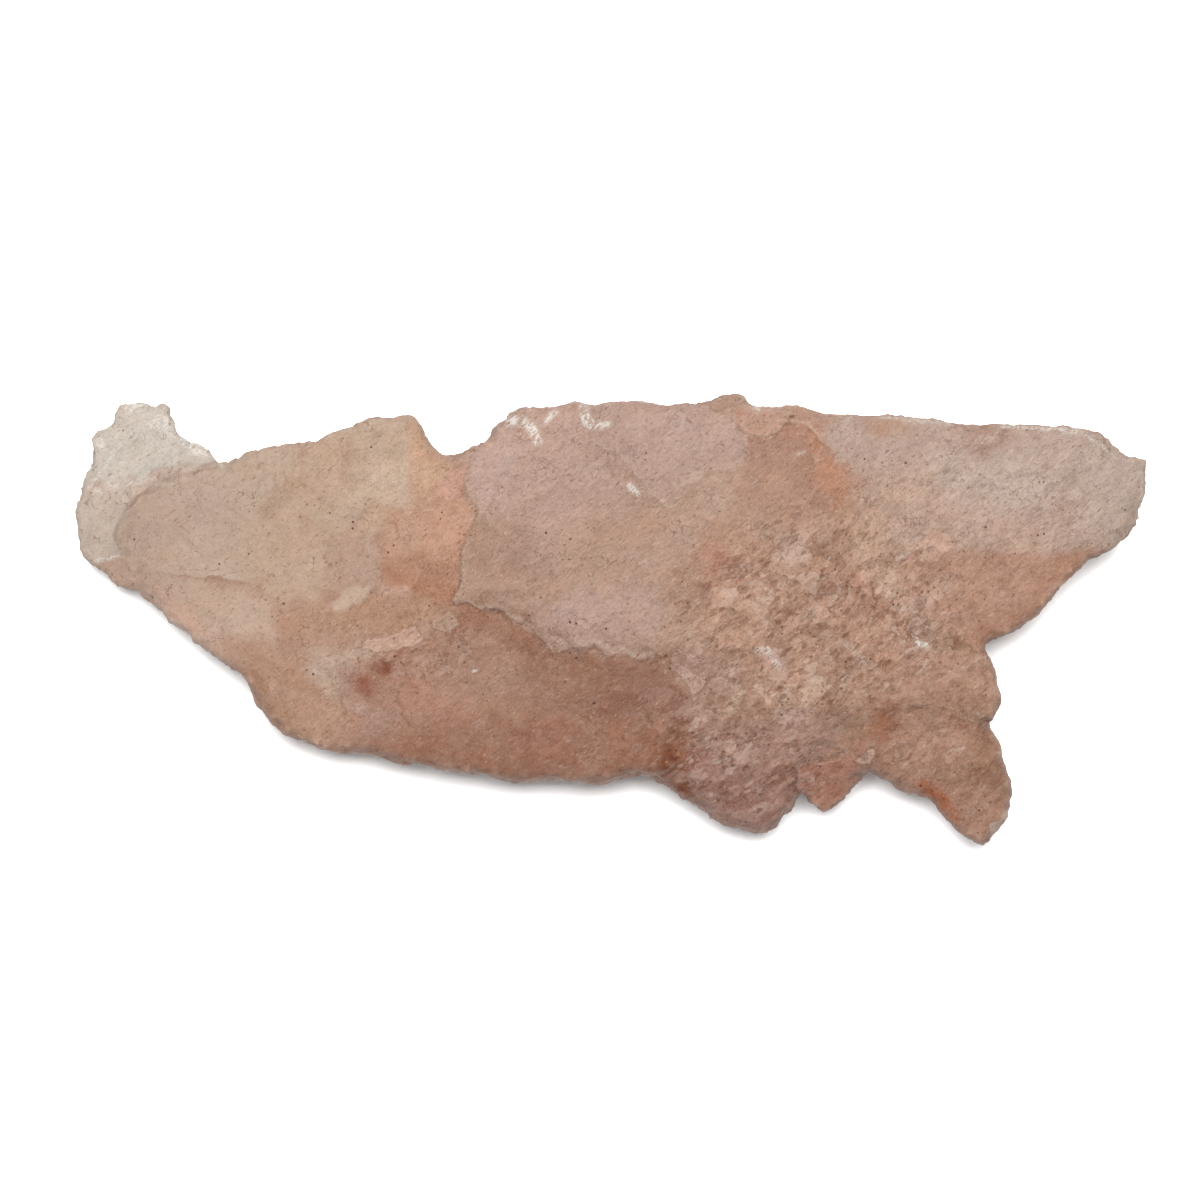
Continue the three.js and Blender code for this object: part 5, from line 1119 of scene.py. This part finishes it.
def make_morganite():
    material = bpy.data.materials.new("morganite")
    material.use_nodes = True
    sheet = Sheet(material.node_tree)
    plus, minus, times, most, scaled = sheet.plus, sheet.minus, sheet.times, sheet.most, sheet.scaled
    vector, eased, blend, read = sheet.vector, sheet.eased, sheet.blend, sheet.read
    shader = sheet.tree.nodes["Principled BSDF"].inputs

    coordinates = sheet.node("TexCoord").outputs["Object"]
    place = vector("SCALE", coordinates, Scale=1 / MM)
    crumbly = read("crumble")

    def where_crumbly(more, base):
        """A strength that is base where the stone is sound, and more is added where it is crumbly."""
        return scaled(crumbly, more, base)

    mottle = sheet.centred_noise(place, MOTTLE_SIZE, detail=4.0, roughness=0.76)
    grain = sheet.centred_noise(place, GRAIN_SIZE, detail=1.0, roughness=0.7)
    hue = sheet.centred_noise(place, HUE_SIZE, detail=2.0, roughness=0.6)
    sharp_grain = minus(eased(grain, -0.09, 0.09), 0.5)
    scratches = sheet.use(streak_group, Position=place, **SCRATCHES)["Value"]
    jitter = times(plus(mottle, scratches), 0.45)
    bent = vector("MULTIPLY_ADD", mottle, (CELL_BEND, CELL_BEND, CELL_BEND), place)
    flakes = sheet.use(facet_group, Position=bent, **FLAKES)["Level"]
    chips = sheet.use(facet_group, Position=bent, **CHIPS)["Level"]

    # flake rims: a painted highlight that ends crisply beside a thin line of painted shade, where a noise passes its
    # middle
    rim_noise = sheet.centred_noise(place, FLAKE_RIM_SIZE, detail=3.0, roughness=0.62)
    flake_edge_highlight = times(eased(rim_noise, 0.10, 0.0), eased(rim_noise, -0.003, 0.003))
    flake_edge_shade = times(eased(rim_noise, -0.030, 0.0), eased(rim_noise, 0.003, -0.003))
    flaking = times(where_crumbly(0.16, 0.12), eased(hue, -0.02, 0.06, 0.15, 1.0))

    # short hair cracks, where a noise passes its middle and another one lets them show
    crack_noise = sheet.centred_noise(place, CRACK_SIZE, detail=2.0, roughness=0.62)
    crack = eased(sheet.maths("ABSOLUTE", crack_noise), 0.017, 0.006)
    crack = times(crack, eased(scaled(flakes, 0.15, hue), 0.04, 0.12, 0.0, 0.5))

    # the nearest crisp border, cut between the vertices
    border = plus(read("border"), jitter)
    ledge = read("ledge")
    inside = eased(border, CRISP, -CRISP)
    colour = blend(inside, read("ground", "Vector"), read("stain", "Vector"))

    # lighter and darker, with painted shade below ledges, and a slow shift of hue
    tone = times(mottle, where_crumbly(0.05, 0.50))
    tone = scaled(sharp_grain, 0.14, tone)
    tone = scaled(scratches, 0.40, tone)
    tone = plus(tone, times(flakes, where_crumbly(0.16, 0.10)))
    tone = plus(tone, times(chips, where_crumbly(0.10, 0.08)))
    tone = times(tone, read("grainy"))
    # hollows made a little darker
    tone = scaled(read("hollow"), -0.08, tone)
    # painted shade: a darker band just outside a ledge's border, below the step
    painted_ledge_shade = times(eased(border, 0.26, 0.06), eased(border, -0.02, 0.06))
    tone = minus(tone, times(times(painted_ledge_shade, ledge), 0.28))
    # painted shade: steep walls are pulled halfway towards the darker rust colour
    colour = blend(times(read("wall"), 0.5), colour, RUST)
    colour = vector("SCALE", colour, Scale=plus(tone, 1.0))
    colour = vector("MULTIPLY", colour, vector("MULTIPLY_ADD", hue, HUE_SHIFT, (1, 1, 1)))

    # pale: painted highlights on ledge rims and flake rims, paler ridges, and scratches and fresh chips
    # painted highlight: a pale line just inside a ledge's border, along its upper edge
    rim = times(eased(border, -0.20, -0.06), inside)
    rim = times(rim, eased(mottle, -0.08, 0.05, 0.0, 0.9))
    pale = most(times(rim, ledge), times(read("ridge"), 0.28))
    pale = most(pale, eased(scratches, 0.16, 0.20, 0.0, 0.45))
    pale = most(pale, times(flake_edge_highlight, flaking))
    fresh = most(eased(chips, 0.37, 0.39, 0.0, 0.45), eased(flakes, 0.36, 0.38, 0.0, 0.30))
    fresh = times(fresh, eased(hue, -0.06, 0.08, 0.35, 1.0))
    pale = most(pale, times(fresh, where_crumbly(0.85, 0.15)))
    colour = blend(pale, colour, FROST_AND_HIGHLIGHT)

    # dark: scratches, cracks, pits that hold clay, and painted shade beside flake rims
    dark = most(eased(scratches, -0.16, -0.19, 0.0, 0.60), times(flake_edge_shade, flaking))
    dark = most(dark, crack)
    pit = eased(chips, -0.41, -0.43, 0.0, 0.35)
    dark = most(dark, times(pit, where_crumbly(0.85, 0.15)))
    colour = blend(dark, colour, DIRT_AND_SHADE)

    # veins and dots, broken up by the scratches
    on_vein = eased(scaled(jitter, 1.9, read("vein")), 0.05, -0.06)
    streaky = eased(scaled(scratches, 1.2, mottle), -0.06, 0.08, 0.12, 1.0)
    strength = times(times(on_vein, streaky), read("vein_strength"))
    colour = blend(strength, colour, read("vein_colour", "Vector"))

    # specks of clay, and a few of soot
    specks = sheet.use(speck_group, Position=place, **SPECKS)
    is_soot = sheet.maths("LESS_THAN", specks["Kind"], SOOT_SHARE)
    clay = times(scaled(read("patchy"), 0.8, 0.2), where_crumbly(0.40, 0.55))
    strength = most(clay, times(is_soot, 0.8))
    colour = blend(times(specks["Mask"], strength), colour, blend(is_soot, DIRT_AND_SHADE, SOOT))

    # what is seen is the stone's own colour in this light and the light mirrored on top, so that is taken off
    own = vector("MULTIPLY_ADD", colour, tuple(1 / BRIGHTNESS), tuple(-MIRRORED / BRIGHTNESS))
    sheet.fill(shader["Base Color"], vector("MAXIMUM", own, (DARKEST, DARKEST, DARKEST)))
    sheet.fill(shader["Roughness"], scaled(mottle, 0.3, 0.70))

    height = times(mottle, 0.12)
    height = plus(height, times(flakes, where_crumbly(0.16, 0.05)))
    height = plus(height, times(times(inside, ledge), 0.07))
    bump = sheet.node("Bump", Strength=0.8, Distance=MM, Height=height)
    sheet.fill(shader["Normal"], bump.outputs["Normal"])

    for name, value in GLASS_AND_CLOUD.items():
        shader[name].default_value = value
    absorption = sheet.node("VolumeAbsorption", **ABSORBED)
    sheet.fill(sheet.tree.nodes["Material Output"].inputs["Volume"], absorption.outputs["Volume"])
    return material


morganite = make_morganite()
stone.data.materials.clear()
stone.data.materials.append(morganite)
print(len(morganite.node_tree.nodes), "nodes in the material")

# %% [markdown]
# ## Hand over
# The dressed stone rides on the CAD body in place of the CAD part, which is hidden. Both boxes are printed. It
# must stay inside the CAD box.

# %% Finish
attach(stone, "root")
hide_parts("morganite")

visual_box = [list(corner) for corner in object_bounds()]
for name, (near, far) in (("CAD", cad_box), ("visual", visual_box)):
    print(name, "box", [round((b - a) / MM, 2) for a, b in zip(near, far)], "mm")
